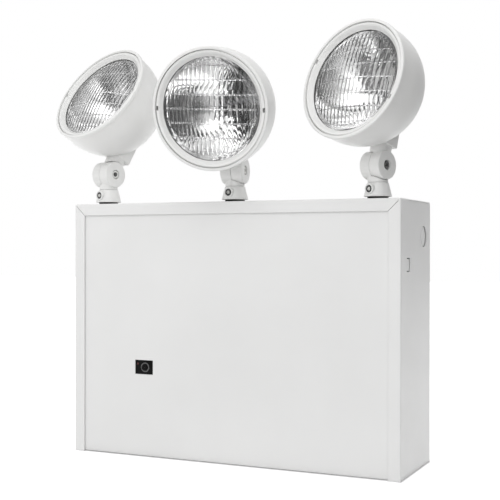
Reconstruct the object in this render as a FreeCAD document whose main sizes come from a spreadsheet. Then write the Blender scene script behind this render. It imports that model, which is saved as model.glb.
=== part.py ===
"""Emergency light: a folded steel cabinet with three swivelling sealed-beam lamp heads.

Row frame, millimetres: the origin is at the centre of the cabinet's bottom face, +Z is up,
the front cover faces -Y and +X is to the right of someone facing the cover.
"""
import FreeCAD, Part
import math
import os
import Sketcher
from FreeCAD import Vector
from types import SimpleNamespace

# Driving dimensions, in millimetres and degrees
DIMENSIONS = {
    # cabinet
    "cabinet_width": 386,
    "cabinet_depth": 112,
    "cabinet_height": 282,
    "steel_thickness": 1.2,
    "bend_radius": 1.6,
    "flange_width": 13,
    "mitre_gap": 0.5,
    "rear_flange_depth": 18,
    "wall_hole_diameter": 7,
    "wall_hole_spacing_across": 300,
    "wall_hole_spacing_up": 180,
    "wall_hole_lowest": 51,
    "knockout_diameter": 22.2,
    "knockout_score_width": 0.9,
    "knockout_score_depth": 0.7,
    "side_knockout_from_back": 27.3,
    "side_knockout_below_top": 37.5,
    "back_knockout_below_top": 60,
    "tab_length": 12,
    "tab_height": 14,
    "tab_slit": 1,
    "tab_from_front": 21,
    "tab_below_top": 60,
    # front cover
    "cover_flange_gap": 0.8,
    "cover_edge_gap": 0.5,
    "cover_return_depth": 15,
    "cover_screw_inset": 60,
    "cover_screw_diameter": 3.5,
    "cover_screw_head_diameter": 7,
    "cover_screw_length": 9,
    # test switch in the cover's window
    "window_width": 22.6,
    "window_height": 15.8,
    "window_left_of_centre": 102.3,
    "window_above_bottom": 99.3,
    "insert_edge_gap": 0.15,
    "insert_depth": 10,
    "insert_ear_width": 2,
    "insert_ear_thickness": 1.5,
    "button_diameter": 7,
    "button_right_of_window": 1.5,
    "button_stand_out": 2.4,
    "button_travel": 2,
    "button_flange_diameter": 9,
    "button_flange_thickness": 1.2,
    "button_wall": 2.8,
    "button_gap": 0.1,
    "pilot_diameter": 3,
    "pilot_left_of_window": 8,
    "pilot_above_window": 3.6,
    "pilot_stand_out": 0.4,
    "pilot_length": 8,
    "switch_width": 13,
    "switch_depth": 9,
    "switch_height": 8,
    # collar that carries a lamp head
    "head_from_cabinet_end": 31,
    "pan_axis_from_front": 22.5,
    "gasket_diameter": 21.5,
    "gasket_thickness": 2.5,
    "collar_foot_diameter": 29,
    "collar_top_diameter": 22,
    "collar_height": 14.3,
    "collar_bore_diameter": 12.2,
    "stem_diameter": 17,
    "stem_length": 13,
    "stem_hole_gap": 0.3,
    "locknut_across_flats": 24,
    "locknut_height": 5,
    "lock_screw_height": 7.6,
    "lock_screw_diameter": 4,
    "lock_screw_head_diameter": 8,
    "lock_screw_head_height": 2.6,
    "lock_boss_wall": 1.5,
    "lock_boss_reach": 14.8,
    "lock_boss_recess": 1.6,
    "lock_screw_tip_gap": 0.3,
    "screw_gap": 0.1,
    # swivel knuckle
    "neck_rise": 2.85,
    "neck_diameter": 21,
    "knuckle_diameter": 29.5,
    "knuckle_width": 24.6,
    "knuckle_gap": 0.4,
    "swing_clearance": 0.8,
    "stub_diameter": 12,
    "stub_groove_depth": 1.5,
    "stub_groove_width": 6,
    "wire_bore_diameter": 6,
    "collar_seat_gap": 0.2,
    "tilt_bolt_diameter": 5,
    "tilt_bolt_end": 0.8,
    "tilt_bolt_head_diameter": 9,
    "tilt_bolt_head_height": 3.4,
    "tilt_nut_across_flats": 8,
    "tilt_nut_height": 4,
    "knuckle_recess_diameter": 10.4,
    "knuckle_recess_depth": 5,
    # lamp housing
    "rim_bead": 0.9,
    "rim_bead_depth": 3.5,
    "rim_rounding": 1.4,
    "bowl_radius": 62.5,
    "bowl_band_depth": 17.5,
    "bowl_wall": 2.5,
    "bowl_mouth_wall": 2.1,
    "bowl_back_behind_pan_axis": 17.3,
    "bowl_above_tilt_axis": 8.2,
    "upper_neck_diameter": 22,
    "saddle_width": 23,
    "saddle_above_tilt_axis": 21,
    "saddle_behind_pan_axis": 12,
    "saddle_height": 27.5,
    "saddle_seat_gap": 0.1,
    "saddle_screw_diameter": 4,
    "saddle_screw_length": 11,
    "saddle_screw_head_diameter": 8,
    "saddle_screw_head_height": 2.5,
    "saddle_screw_slant": 134,
    "lamp_ledge_width": 4.9,
    "lamp_ledge_depth": 3,
    # bezel and sealed-beam lamp
    "bezel_gap": 1,
    "bezel_recess": 0.6,
    "bezel_width": 6.1,
    "bezel_bevel": 0.8,
    "bezel_crown_radius": 14,
    "bezel_edge_thickness": 0.7,
    "bezel_depth": 5.7,
    "bezel_notch_width": 4.5,
    "bezel_notch_depth": 2.3,
    "lamp_inside_bezel": 2,
    "lamp_seat_gap": 0.1,
    "lens_rim_thickness": 2.5,
    "lens_dome_rise": 7,
    "glass_thickness": 3,
    "flute_pitch": 5,
    "flute_depth": 0.8,
    "lens_row_pitch": 14.7,
    "lens_row_groove_width": 0.6,
    "lens_row_groove_depth": 0.4,
    "reflector_rim_thickness": 2.2,
    "reflector_rim_width": 4.4,
    "reflector_depth": 43,
    "reflector_base_radius": 9,
    "reflector_curve_radius": 89,
    "reflector_wall": 1.8,
    "filament_before_base": 15,
    "filament_length": 8,
    "filament_diameter": 1.8,
    "filament_post_diameter": 1.6,
    "lamp_terminal_diameter": 5,
    "lamp_terminal_length": 7,
    "lamp_terminal_spacing": 11,
    # rest pose of the heads: pan towards +X and tilt upwards are positive
    "pan_left": -15.2,
    "pan_middle": 5.2,
    "pan_right": -21.1,
    "tilt_left": 31.9,
    "tilt_middle": -11.6,
    "tilt_right": 14.9,
    "lens_turn_left": 4,
    "lens_turn_middle": 3.5,
    "lens_turn_right": 1.5,
    "bezel_turn_left": 3.5,
    "bezel_turn_middle": 3.7,
    "bezel_turn_right": 25.5,
    "lock_screw_turn_left": -15,
    "lock_screw_turn_middle": -5,
    "lock_screw_turn_right": -22,
    # battery
    "battery_length": 151,
    "battery_depth": 65,
    "battery_height": 92,
    "battery_lid_inset": 2,
    "battery_lid_height": 3,
    "battery_tab_width": 6.3,
    "battery_tab_thickness": 0.8,
    "battery_tab_height": 6,
    "battery_tab_inset": 14,
    "battery_right_of_centre": 40,
    "tray_above_bottom": 14,
    "tray_edge_gap": 0.5,
    "tray_lip_height": 12,
    "tray_leg_height": 20,
    "strap_width": 25,
    "strap_gap": 0.2,
    "strap_foot": 20,
    # transformer
    "core_width": 66,
    "core_height": 55,
    "core_stack": 26,
    "core_leg": 11,
    "coil_overhang": 9,
    "coil_gap": 0.2,
    "coil_wall_gap": 2,
    "transformer_left_of_centre": 110,
    "transformer_above_bottom": 170,
    "bracket_width": 20,
    "bracket_foot": 14,
    "bracket_screw_out": 8.4,
    "transformer_screw_diameter": 4,
    "transformer_screw_head_diameter": 7.2,
    "transformer_screw_head_height": 2.5,
    # charger board
    "board_width": 120,
    "board_height": 76,
    "board_thickness": 1.6,
    "board_right_of_centre": 60,
    "board_above_bottom": 180,
    "board_hole_inset": 6,
    "standoff_height": 9,
    "standoff_diameter": 6,
    "standoff_hole_depth": 4.5,
    "board_screw_diameter": 3,
    "board_screw_head_diameter": 6,
    "board_screw_end_gap": 0.2,
    "board_screw_head_height": 2,
    "relay_inset": 15,
    "relay_width": 29,
    "relay_depth": 16,
    "relay_height": 13,
    "terminal_block_width": 52,
    "terminal_block_depth": 13,
    "terminal_block_height": 10,
    "terminal_block_inset": 6,
    "terminal_well_diameter": 6,
    "terminal_well_depth": 6,
}

SIDES = ("left", "middle", "right")
FLUTES = 21      # vertical flutes across one lens
LENS_ROWS = 7    # level grooves that part the flutes into rows
FLUTE_SWEEP = 40 # degrees; more than the dome spans, so that the flutes run out at its edge
TERMINALS = 5    # ways of the terminal block
OVER = 1.0       # how far a cutting solid runs past the face that it cuts

doc = FreeCAD.newDocument("emergency_light")
sheet = doc.addObject("Spreadsheet::Sheet", "sizes")


class Size:
    """A cell of the sheet, or a sum made of cells: its formula in the document and its value now."""

    def __init__(self, formula, value):
        self.formula = formula
        self.value = value

    def __add__(self, other):
        return join(self, "+", other, lambda a, b: a + b)

    def __radd__(self, other):
        return join(other, "+", self, lambda a, b: a + b)

    def __sub__(self, other):
        return join(self, "-", other, lambda a, b: a - b)

    def __rsub__(self, other):
        return join(other, "-", self, lambda a, b: a - b)

    def __mul__(self, other):
        return join(self, "*", other, lambda a, b: a * b)

    def __rmul__(self, other):
        return join(other, "*", self, lambda a, b: a * b)

    def __truediv__(self, other):
        return join(self, "/", other, lambda a, b: a / b)

    def __neg__(self):
        return join(0, "-", self, lambda a, b: a - b)


def as_size(number):
    return number if isinstance(number, Size) else Size(f"({number})", float(number))


def join(first, sign, second, work):
    first, second = as_size(first), as_size(second)
    return Size(f"({first.formula} {sign} {second.formula})", work(first.value, second.value))


def root(size):
    return Size(f"sqrt({size.formula})", math.sqrt(size.value))


def turning(axis, angle):
    """Formula of a rotation about an axis, in degrees."""
    return f"rotation(vector({axis}); {as_size(angle).formula})"


def standing(x, y, z, *turns):
    """Formula of a placement."""
    base = "; ".join(as_size(size).formula for size in (x, y, z))
    return f"placement(vector({base}); {' * '.join(turns)})"


# Axes to turn about, and directions for pieces that are modelled upright and laid along another axis
ABOUT_X, ABOUT_Y, ABOUT_Z = "1; 0; 0", "0; 1; 0", "0; 0; 1"
UPRIGHT = turning(ABOUT_Z, 0)
ALONG_X = turning(ABOUT_Y, 90)
ALONG_Y = turning(ABOUT_X, -90)
TOWARDS_FRONT = turning(ABOUT_X, 90)


def fill_sheet():
    """Writes the dimensions as plain numbers, each cell with its name, and returns them by name."""
    for row, (name, number) in enumerate(DIMENSIONS.items(), start=1):
        sheet.set(f"A{row}", str(number))
        sheet.setAlias(f"A{row}", name)
    doc.recompute()
    return SimpleNamespace(**{n: Size(f"sizes.{n}", float(sheet.get(n))) for n in DIMENSIONS})


s = fill_sheet()

# Faces and axes that several pieces share
HALF_WIDTH = s.cabinet_width / 2
FRONT = -s.cabinet_depth / 2
BACK = s.cabinet_depth / 2
INNER_BACK = BACK - s.steel_thickness
TOP = s.cabinet_height
UNDER_TOP = TOP - s.steel_thickness
COVER_FACE = FRONT + s.steel_thickness + s.cover_flange_gap
COVER_BACK = COVER_FACE + s.steel_thickness
WINDOW_X = -s.window_left_of_centre
WINDOW_Z = s.window_above_bottom
BUTTON_X = WINDOW_X + s.button_right_of_window
PILOT_X = WINDOW_X - s.pilot_left_of_window
PILOT_Z = WINDOW_Z + s.pilot_above_window
PAN_Y = FRONT + s.pan_axis_from_front
COLLAR_FOOT = TOP + s.gasket_thickness
COLLAR_ABOVE_TOP = s.gasket_thickness + s.collar_height
TILT_AXIS_ABOVE_COLLAR = s.neck_rise + s.knuckle_diameter / 2
TILT_Z = TOP + COLLAR_ABOVE_TOP + TILT_AXIS_ABOVE_COLLAR
HEAD_AXIS = s.bowl_above_tilt_axis + s.bowl_radius
RIM_AHEAD = s.bowl_band_depth + s.bowl_radius - s.bowl_back_behind_pan_axis
MOUTH_RADIUS = s.bowl_radius - s.bowl_mouth_wall
BEZEL_RADIUS = MOUTH_RADIUS - s.bezel_gap
THROAT_RADIUS = BEZEL_RADIUS - s.bezel_width
LAMP_RADIUS = BEZEL_RADIUS - s.lamp_inside_bezel
END_HEAD_X = HALF_WIDTH - s.head_from_cabinet_end
HEAD_X = {"left": -END_HEAD_X, "middle": as_size(0), "right": END_HEAD_X}
# the upper half of a knuckle is on the right, apart from the left head's, which is turned round
UPPER_HALF = {"left": -1, "middle": 1, "right": 1}


def bind(thing, **formulas):
    """Binds properties to formulas of the sheet; a plain number is set as it is."""
    for name, size in formulas.items():
        if isinstance(size, Size):
            thing.setExpression(name, size.formula)
        else:
            setattr(thing, name, size)
    return thing


def place(thing, x=0, y=0, z=0, turn=UPRIGHT):
    """Turns a piece and sets its place, bound to the sheet."""
    thing.setExpression("Placement", standing(x, y, z, turn))
    return thing


def box(name, size, low):
    """A box of three sizes with its low corner at low."""
    block = doc.addObject("Part::Box", name)
    bind(block, Length=size[0], Width=size[1], Height=size[2])
    return place(block, *low)


def bent_box(name, size, low, edges, radius):
    """A box with some of its edges rounded, as bends in a sheet are."""
    body = doc.addObject("PartDesign::Body", name)
    block = body.newObject("PartDesign::AdditiveBox", f"{name}_block")
    bind(block, Length=size[0], Width=size[1], Height=size[2])
    doc.recompute()
    bends = body.newObject("PartDesign::Fillet", f"{name}_bends")
    bends.Base = (block, edges)
    bind(bends, Radius=radius)
    doc.recompute()
    return place(body, *low)


def cylinder(name, radius, height, at=(0, 0, 0), turn=UPRIGHT):
    rod = doc.addObject("Part::Cylinder", name)
    bind(rod, Radius=radius, Height=height)
    return place(rod, *at, turn)


def cone(name, low_radius, high_radius, height, at=(0, 0, 0)):
    taper = doc.addObject("Part::Cone", name)
    bind(taper, Radius1=low_radius, Radius2=high_radius, Height=height)
    return place(taper, *at)


def hexagon(name, across_flats, height, at=(0, 0, 0), turn=UPRIGHT):
    prism = doc.addObject("Part::Prism", name)
    prism.Polygon = 6
    bind(prism, Circumradius=across_flats / math.sqrt(3), Height=height)
    return place(prism, *at, turn)


def fuse(name, *pieces):
    whole = doc.addObject("Part::MultiFuse", name)
    whole.Shapes = list(pieces)
    whole.Refine = True
    return whole


def cut(name, base, *tools):
    """Takes the tools away from the base."""
    rest = doc.addObject("Part::Cut", name)
    rest.Base = base
    rest.Tool = tools[0] if len(tools) == 1 else fuse(f"{name}_tools", *tools)
    rest.Refine = True
    return rest


def group(name, pieces):
    """Separate like solids in one node."""
    together = doc.addObject("Part::Compound", name)
    together.Links = list(pieces)
    return together


def outline(sketch, corners):
    """Draws a closed outline; a corner is (x, y) or (x, y, arc radius, side) for the edge that follows it."""
    points = [Vector(as_size(c[0]).value, as_size(c[1]).value, 0) for c in corners]
    ends = []
    for index, corner in enumerate(corners):
        start, finish = points[index], points[(index + 1) % len(points)]
        if len(corner) == 2:
            edge = sketch.addGeometry(Part.LineSegment(start, finish), False)
            ends.append((edge, 1, 2))
            continue
        radius, side = as_size(corner[2]), corner[3]
        half = (finish - start) * 0.5
        rise = radius.value - math.sqrt(max(radius.value ** 2 - half.Length ** 2, 0.0))
        across = Vector(-half.y, half.x, 0).normalize() * (side * rise)
        edge = sketch.addGeometry(Part.Arc(start, start + half + across, finish), False)
        first = sketch.getPoint(edge, 1).isEqual(start, 1e-6)
        ends.append((edge, 1, 2) if first else (edge, 2, 1))
        bound(sketch, Sketcher.Constraint("Radius", edge, radius.value), radius)
    for index, corner in enumerate(corners):
        edge, start, finish = ends[index]
        following, following_start, _ = ends[(index + 1) % len(ends)]
        sketch.addConstraint(Sketcher.Constraint("Coincident", edge, finish, following, following_start))
        for kind, size in (("DistanceX", corner[0]), ("DistanceY", corner[1])):
            size = as_size(size)
            bound(sketch, Sketcher.Constraint(kind, -1, 1, edge, start, size.value), size)


def bound(sketch, constraint, size):
    """Adds a constraint whose value follows the sheet."""
    index = sketch.addConstraint(constraint)
    sketch.setExpression(f"Constraints[{index}]", size.formula)


def turned(name, corners, axis="V_Axis", angle=360):
    """A body turned about an axis of its sketch, which lies in the XZ plane."""
    body = doc.addObject("PartDesign::Body", name)
    sketch = body.newObject("Sketcher::SketchObject", f"{name}_outline")
    plane = next(f for f in body.Origin.OriginFeatures if f.Role == "XZ_Plane")
    sketch.AttachmentSupport = [(plane, "")]
    sketch.MapMode = "FlatFace"
    outline(sketch, corners)
    doc.recompute()
    turn = body.newObject("PartDesign::Revolution", f"{name}_turn")
    turn.Profile = sketch
    turn.ReferenceAxis = (sketch, [axis])
    turn.Angle = angle
    doc.recompute()
    return body


def reach(side, near, far):
    """Start and length of a rod along X from near to far, measured from the middle plane to one side."""
    near, far = as_size(near), as_size(far)
    return (near if side > 0 else -far), far - near


def cabinet_shell():
    """Back, top and sides in one folded sheet, with mitred flanges around the front opening."""
    thickness = s.steel_thickness
    outside_size = (s.cabinet_width, s.cabinet_depth, TOP)
    # the four upright edges of the box and the four around its top
    edges = ["Edge1", "Edge3", "Edge5", "Edge7", "Edge2", "Edge6", "Edge10", "Edge12"]
    walls = bent_box("shell_walls", outside_size, (-HALF_WIDTH, FRONT, 0), edges, s.bend_radius)
    inside_size = (s.cabinet_width - 2 * thickness, s.cabinet_depth - 2 * thickness, UNDER_TOP + OVER)
    inside = box("shell_inside", inside_size, (thickness - HALF_WIDTH, FRONT + thickness, -OVER))
    opening_size = (s.cabinet_width - 2 * s.flange_width, thickness + 2 * OVER, TOP - s.flange_width + OVER)
    opening = box("shell_opening", opening_size, (s.flange_width - HALF_WIDTH, FRONT - OVER, -OVER))
    rear_flange_size = (s.cabinet_width - 2 * thickness, s.rear_flange_depth, thickness)
    rear_flange_low = (thickness - HALF_WIDTH, INNER_BACK - s.rear_flange_depth, thickness)
    folded = fuse("shell_folded", cut("shell_tray", walls, inside, opening),
                  box("shell_rear_flange", rear_flange_size, rear_flange_low))
    cuts = mitres() + stem_holes() + wall_holes() + knockouts() + cover_tabs() + flange_screw_holes()
    return cut("cabinet_shell", folded, *cuts)


def mitres():
    """The slits where the top flange meets the side flanges, as far as the bends."""
    length = (s.flange_width - s.bend_radius - s.mitre_gap) * math.sqrt(2)
    size = (length + OVER, s.steel_thickness + 2 * OVER, s.mitre_gap)
    slits = []
    for name, side, angle in (("right", 1, -45), ("left", -1, -135)):
        slit = box(f"mitre_slit_{name}", size, (-OVER, -OVER, -s.mitre_gap / 2))
        corner = (side * (HALF_WIDTH - s.flange_width), FRONT, TOP - s.flange_width)
        slits.append(place(group(f"mitre_{name}", [slit]), *corner, turning(ABOUT_Y, angle)))
    return slits


def stem_holes():
    radius = s.stem_diameter / 2 + s.stem_hole_gap
    through = s.steel_thickness + 2 * OVER
    return [cylinder(f"stem_hole_{side}", radius, through, (HEAD_X[side], PAN_Y, UNDER_TOP - OVER))
            for side in SIDES]


def wall_holes():
    """Four plain holes for fixing the cabinet to a wall."""
    holes = []
    through = s.steel_thickness + 2 * OVER
    for across, x in (("left", -s.wall_hole_spacing_across / 2), ("right", s.wall_hole_spacing_across / 2)):
        for up, z in (("low", s.wall_hole_lowest), ("high", s.wall_hole_lowest + s.wall_hole_spacing_up)):
            at = (x, INNER_BACK - OVER, z)
            holes.append(cylinder(f"wall_hole_{across}_{up}", s.wall_hole_diameter / 2, through, at, ALONG_Y))
    return holes


def score(name, at, turn):
    """The ring that half-shears a conduit knockout; at is on the outer face and turn points outwards."""
    radius = s.knockout_diameter / 2
    depth = s.knockout_score_depth + OVER
    ring = cylinder(f"{name}_ring", radius, depth)
    core = cylinder(f"{name}_core", radius - s.knockout_score_width, depth)
    return place(cut(name, ring, core), *at, turn)


def knockouts():
    """One on the right side, near the back, and one in the back for a wall box."""
    depth = s.knockout_score_depth
    side = (HALF_WIDTH - depth, BACK - s.side_knockout_from_back, TOP - s.side_knockout_below_top)
    back = (0, BACK - depth, TOP - s.back_knockout_below_top)
    return [score("side_knockout", side, ALONG_X), score("back_knockout", back, ALONG_Y)]


def cover_tabs():
    """Three slits in each side free a tab that holds the cover's return."""
    slits = []
    hinge = FRONT + s.tab_from_front
    bottom = TOP - s.tab_below_top - s.tab_height
    through = s.steel_thickness + 2 * OVER
    for name, x in (("left", -HALF_WIDTH - OVER), ("right", HALF_WIDTH - s.steel_thickness - OVER)):
        free_edge = (through, s.tab_slit, s.tab_height)
        slits.append(box(f"tab_end_{name}", free_edge, (x, hinge + s.tab_length - s.tab_slit, bottom)))
        long_edge = (through, s.tab_length, s.tab_slit)
        slits.append(box(f"tab_foot_{name}", long_edge, (x, hinge, bottom)))
        slits.append(box(f"tab_head_{name}", long_edge, (x, hinge, bottom + s.tab_height - s.tab_slit)))
    return slits


def cover_screw_places():
    y = INNER_BACK - s.rear_flange_depth / 2
    return [("left", s.cover_screw_inset - HALF_WIDTH, y), ("right", HALF_WIDTH - s.cover_screw_inset, y)]


def flange_screw_holes():
    radius = s.cover_screw_diameter / 2 + s.screw_gap
    through = s.steel_thickness + 2 * OVER
    return [cylinder(f"flange_hole_{name}", radius, through, (x, y, s.steel_thickness - OVER))
            for name, x, y in cover_screw_places()]


def front_cover():
    """Panel behind the flanges with side returns, and the bottom plate folded from its lower edge."""
    thickness = s.steel_thickness
    edge = thickness + s.cover_edge_gap
    low_x = edge - HALF_WIDTH
    width = s.cabinet_width - 2 * edge
    height = TOP - edge
    panel = box("cover_panel", (width, thickness, height), (low_x, COVER_FACE, 0))
    bottom_depth = INNER_BACK - s.cover_edge_gap - COVER_FACE
    bottom = box("cover_bottom", (width, bottom_depth, thickness), (low_x, COVER_FACE, 0))
    return_size = (thickness, s.cover_return_depth, height)
    left = box("cover_return_left", return_size, (low_x, COVER_FACE, 0))
    right = box("cover_return_right", return_size, (-low_x - thickness, COVER_FACE, 0))
    window_size = (s.window_width, thickness + 2 * OVER, s.window_height)
    window_low = (WINDOW_X - s.window_width / 2, COVER_FACE - OVER, WINDOW_Z - s.window_height / 2)
    holes = [box("cover_window", window_size, window_low)]
    for name, x, y in cover_screw_places():
        wide = s.cover_screw_head_diameter / 2 + s.screw_gap
        narrow = s.cover_screw_diameter / 2 + s.screw_gap
        holes.append(cone(f"cover_hole_{name}", wide, narrow, thickness, (x, y, 0)))
    return cut("front_cover", fuse("cover_folded", panel, bottom, left, right), *holes)


def cover_screws():
    """Countersunk screws, flush with the bottom, into the rear flange."""
    screws = []
    for name, x, y in cover_screw_places():
        at = (x, y, 0)
        radius, head_radius = s.cover_screw_diameter / 2, s.cover_screw_head_diameter / 2
        head = cone(f"cover_screw_head_{name}", head_radius, radius, s.steel_thickness, at)
        shank = cylinder(f"cover_screw_shank_{name}", radius, s.cover_screw_length, at)
        screws.append(fuse(f"cover_screw_{name}", head, shank))
    return group("cover_screws", screws)


def switch_insert():
    """Black moulding that fills the cover's window, with ears behind the sheet and the button's bore."""
    gap = s.insert_edge_gap
    width = s.window_width - 2 * gap
    height = s.window_height - 2 * gap
    low = (WINDOW_X - width / 2, COVER_FACE, WINDOW_Z - height / 2)
    block = box("insert_block", (width, s.insert_depth, height), low)
    ear = s.insert_ear_width
    ear_size = (width + 2 * ear, s.insert_ear_thickness, height + 2 * ear)
    ears = box("insert_ears", ear_size, (low[0] - ear, COVER_BACK, low[2] - ear))
    bore_at = (BUTTON_X, COVER_FACE - OVER, WINDOW_Z)
    through = s.insert_depth + 2 * OVER
    bore = cylinder("insert_bore", s.button_diameter / 2 + s.button_gap, through, bore_at, ALONG_Y)
    well_at = (BUTTON_X, COVER_FACE + s.button_wall, WINDOW_Z)
    well_radius = s.button_flange_diameter / 2 + s.button_gap
    well = cylinder("insert_well", well_radius, s.insert_depth, well_at, ALONG_Y)
    pilot_at = (PILOT_X, COVER_FACE - OVER, PILOT_Z)
    pilot_hole = cylinder("insert_pilot_hole", s.pilot_diameter / 2, through, pilot_at, ALONG_Y)
    return cut("switch_insert", fuse("insert_body", block, ears), bore, well, pilot_hole)


def pilot_lamp():
    """Small light-emitting diode with a domed end."""
    radius = s.pilot_diameter / 2
    rod = cylinder("pilot_rod", radius, s.pilot_length, (PILOT_X, COVER_FACE, PILOT_Z), ALONG_Y)
    tip_at = (PILOT_X, COVER_FACE - s.pilot_stand_out, PILOT_Z)
    tip = cylinder("pilot_tip", radius * 0.7, s.pilot_stand_out + OVER, tip_at, ALONG_Y)
    return fuse("pilot_lamp", rod, tip)


def test_button():
    """Round push button with the flange that keeps it in the insert."""
    start = COVER_FACE - s.button_stand_out
    flange_start = COVER_FACE + s.button_wall + s.button_gap
    length = s.button_stand_out + s.button_wall + s.button_gap + s.button_flange_thickness
    stem = cylinder("button_stem", s.button_diameter / 2, length, (BUTTON_X, start, WINDOW_Z), ALONG_Y)
    flange = cylinder("button_flange", s.button_flange_diameter / 2, s.button_flange_thickness,
                      (BUTTON_X, flange_start, WINDOW_Z), ALONG_Y)
    return fuse("test_button", stem, flange)


def test_switch():
    """Sealed momentary switch behind the insert, worked by the button."""
    insert_back = COVER_FACE + s.insert_depth
    low = (BUTTON_X - s.switch_width / 2, insert_back, WINDOW_Z - s.switch_height / 2)
    case = box("switch_case", (s.switch_width, s.switch_depth, s.switch_height), low)
    button_back = s.button_wall + s.button_gap + s.button_flange_thickness
    plunger_length = s.insert_depth - button_back - s.button_travel - s.button_gap
    plunger_at = (BUTTON_X, insert_back - plunger_length, WINDOW_Z)
    plunger = cylinder("switch_plunger", s.pilot_diameter / 2, plunger_length + OVER, plunger_at, ALONG_Y)
    return fuse("test_switch", case, plunger)


def collar_gaskets():
    rings = []
    for side in SIDES:
        at = (HEAD_X[side], PAN_Y, TOP)
        ring = cylinder(f"gasket_disc_{side}", s.gasket_diameter / 2, s.gasket_thickness, at)
        hole = cylinder(f"gasket_hole_{side}", s.stem_diameter / 2 + s.stem_hole_gap, s.gasket_thickness, at)
        rings.append(cut(f"gasket_{side}", ring, hole))
    return group("collar_gaskets", rings)


def collar_place(thing, side):
    """Sets a piece that is modelled on the collar's foot, turned so that its lock screw can be reached."""
    turn = turning(ABOUT_Z, getattr(s, f"lock_screw_turn_{side}"))
    return place(thing, HEAD_X[side], PAN_Y, COLLAR_FOOT, turn)


def collar(side):
    """Tapered collar with a threaded stem through the cabinet's top and a boss for the lock screw."""
    foot_radius, top_radius = s.collar_foot_diameter / 2, s.collar_top_diameter / 2
    taper = cone(f"collar_taper_{side}", foot_radius, top_radius, s.collar_height)
    stem_drop = s.stem_length + s.gasket_thickness
    stem = cylinder(f"collar_stem_{side}", s.stem_diameter / 2, stem_drop + OVER, (0, 0, -stem_drop))
    boss_radius = s.lock_screw_head_diameter / 2 + s.lock_boss_wall
    height = s.lock_screw_height
    reach_out = s.lock_boss_reach
    boss = cylinder(f"collar_boss_{side}", boss_radius, reach_out, (0, 0, height), TOWARDS_FRONT)
    bore_length = stem_drop + s.collar_height + 2 * OVER
    bore_radius = s.collar_bore_diameter / 2
    bore = cylinder(f"collar_bore_{side}", bore_radius, bore_length, (0, 0, -stem_drop - OVER))
    hole_radius = s.lock_screw_diameter / 2 + s.screw_gap
    hole = cylinder(f"collar_hole_{side}", hole_radius, reach_out, (0, 0, height), TOWARDS_FRONT)
    recess_at = (0, s.lock_boss_recess - reach_out, height)
    recess_radius = s.lock_screw_head_diameter / 2 + s.screw_gap
    recess_depth = s.lock_boss_recess + OVER
    recess = cylinder(f"collar_recess_{side}", recess_radius, recess_depth, recess_at, TOWARDS_FRONT)
    body = fuse(f"collar_body_{side}", taper, stem, boss)
    return collar_place(cut(f"collar_{side}", body, bore, hole, recess), side)


def lock_screws():
    """A screw in each collar's boss; its tip stands in the groove of the turning stub."""
    screws = []
    radius, head_radius = s.lock_screw_diameter / 2, s.lock_screw_head_diameter / 2
    tip = s.stub_diameter / 2 - s.stub_groove_depth + s.lock_screw_tip_gap
    seat = s.lock_boss_reach - s.lock_boss_recess
    height = s.lock_screw_height
    for side in SIDES:
        shank = cylinder(f"lock_shank_{side}", radius, seat - tip, (0, -tip, height), TOWARDS_FRONT)
        head_at = (0, -seat, height)
        head = cylinder(f"lock_head_{side}", head_radius, s.lock_screw_head_height, head_at, TOWARDS_FRONT)
        screws.append(collar_place(fuse(f"lock_screw_{side}", shank, head), side))
    return group("lock_screws", screws)


def collar_locknuts():
    nuts = []
    height = s.locknut_height
    for side in SIDES:
        at = (HEAD_X[side], PAN_Y, UNDER_TOP - height)
        nut = hexagon(f"locknut_hex_{side}", s.locknut_across_flats, height, at)
        hole = cylinder(f"locknut_hole_{side}", s.stem_diameter / 2 + s.screw_gap, height, at)
        nuts.append(cut(f"locknut_{side}", nut, hole))
    return group("collar_locknuts", nuts)


def knuckle_half(name, side, radius):
    """One of the two discs that lie face to face on the tilt axis."""
    start, length = reach(side, s.knuckle_gap / 2, s.knuckle_width / 2)
    return cylinder(name, radius, length, (start, 0, 0), ALONG_X)


def swing_room(name, side):
    """What one half leaves free for the other half's disc."""
    start, length = reach(side, -s.knuckle_gap / 2, s.knuckle_width)
    return cylinder(name, s.knuckle_diameter / 2 + s.swing_clearance, length, (start, 0, 0), ALONG_X)


def bolt_hole(name, side):
    """Clearance for the tilt bolt, with the round recess in the outer face of one half."""
    start, length = reach(side, -s.knuckle_gap, s.knuckle_width)
    hole_radius = s.tilt_bolt_diameter / 2 + s.screw_gap
    hole = cylinder(f"{name}_hole", hole_radius, length, (start, 0, 0), ALONG_X)
    start, length = reach(side, s.knuckle_width / 2 - s.knuckle_recess_depth, s.knuckle_width)
    recess = cylinder(f"{name}_recess", s.knuckle_recess_diameter / 2, length, (start, 0, 0), ALONG_X)
    return [hole, recess]


def on_pan_axis(thing, side):
    """Sets a piece that turns with the stub; its origin is where the pan and tilt axes cross."""
    return place(thing, HEAD_X[side], PAN_Y, TILT_Z, turning(ABOUT_Z, getattr(s, f"pan_{side}")))


def head_stand(side):
    """Formula of the place of a head's own frame: panned, then tilted."""
    pan = turning(ABOUT_Z, getattr(s, f"pan_{side}"))
    tilt = turning(ABOUT_X, -getattr(s, f"tilt_{side}"))
    return standing(HEAD_X[side], PAN_Y, TILT_Z, pan, tilt)


def on_head(thing, side):
    thing.setExpression("Placement", head_stand(side))
    return thing


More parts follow.
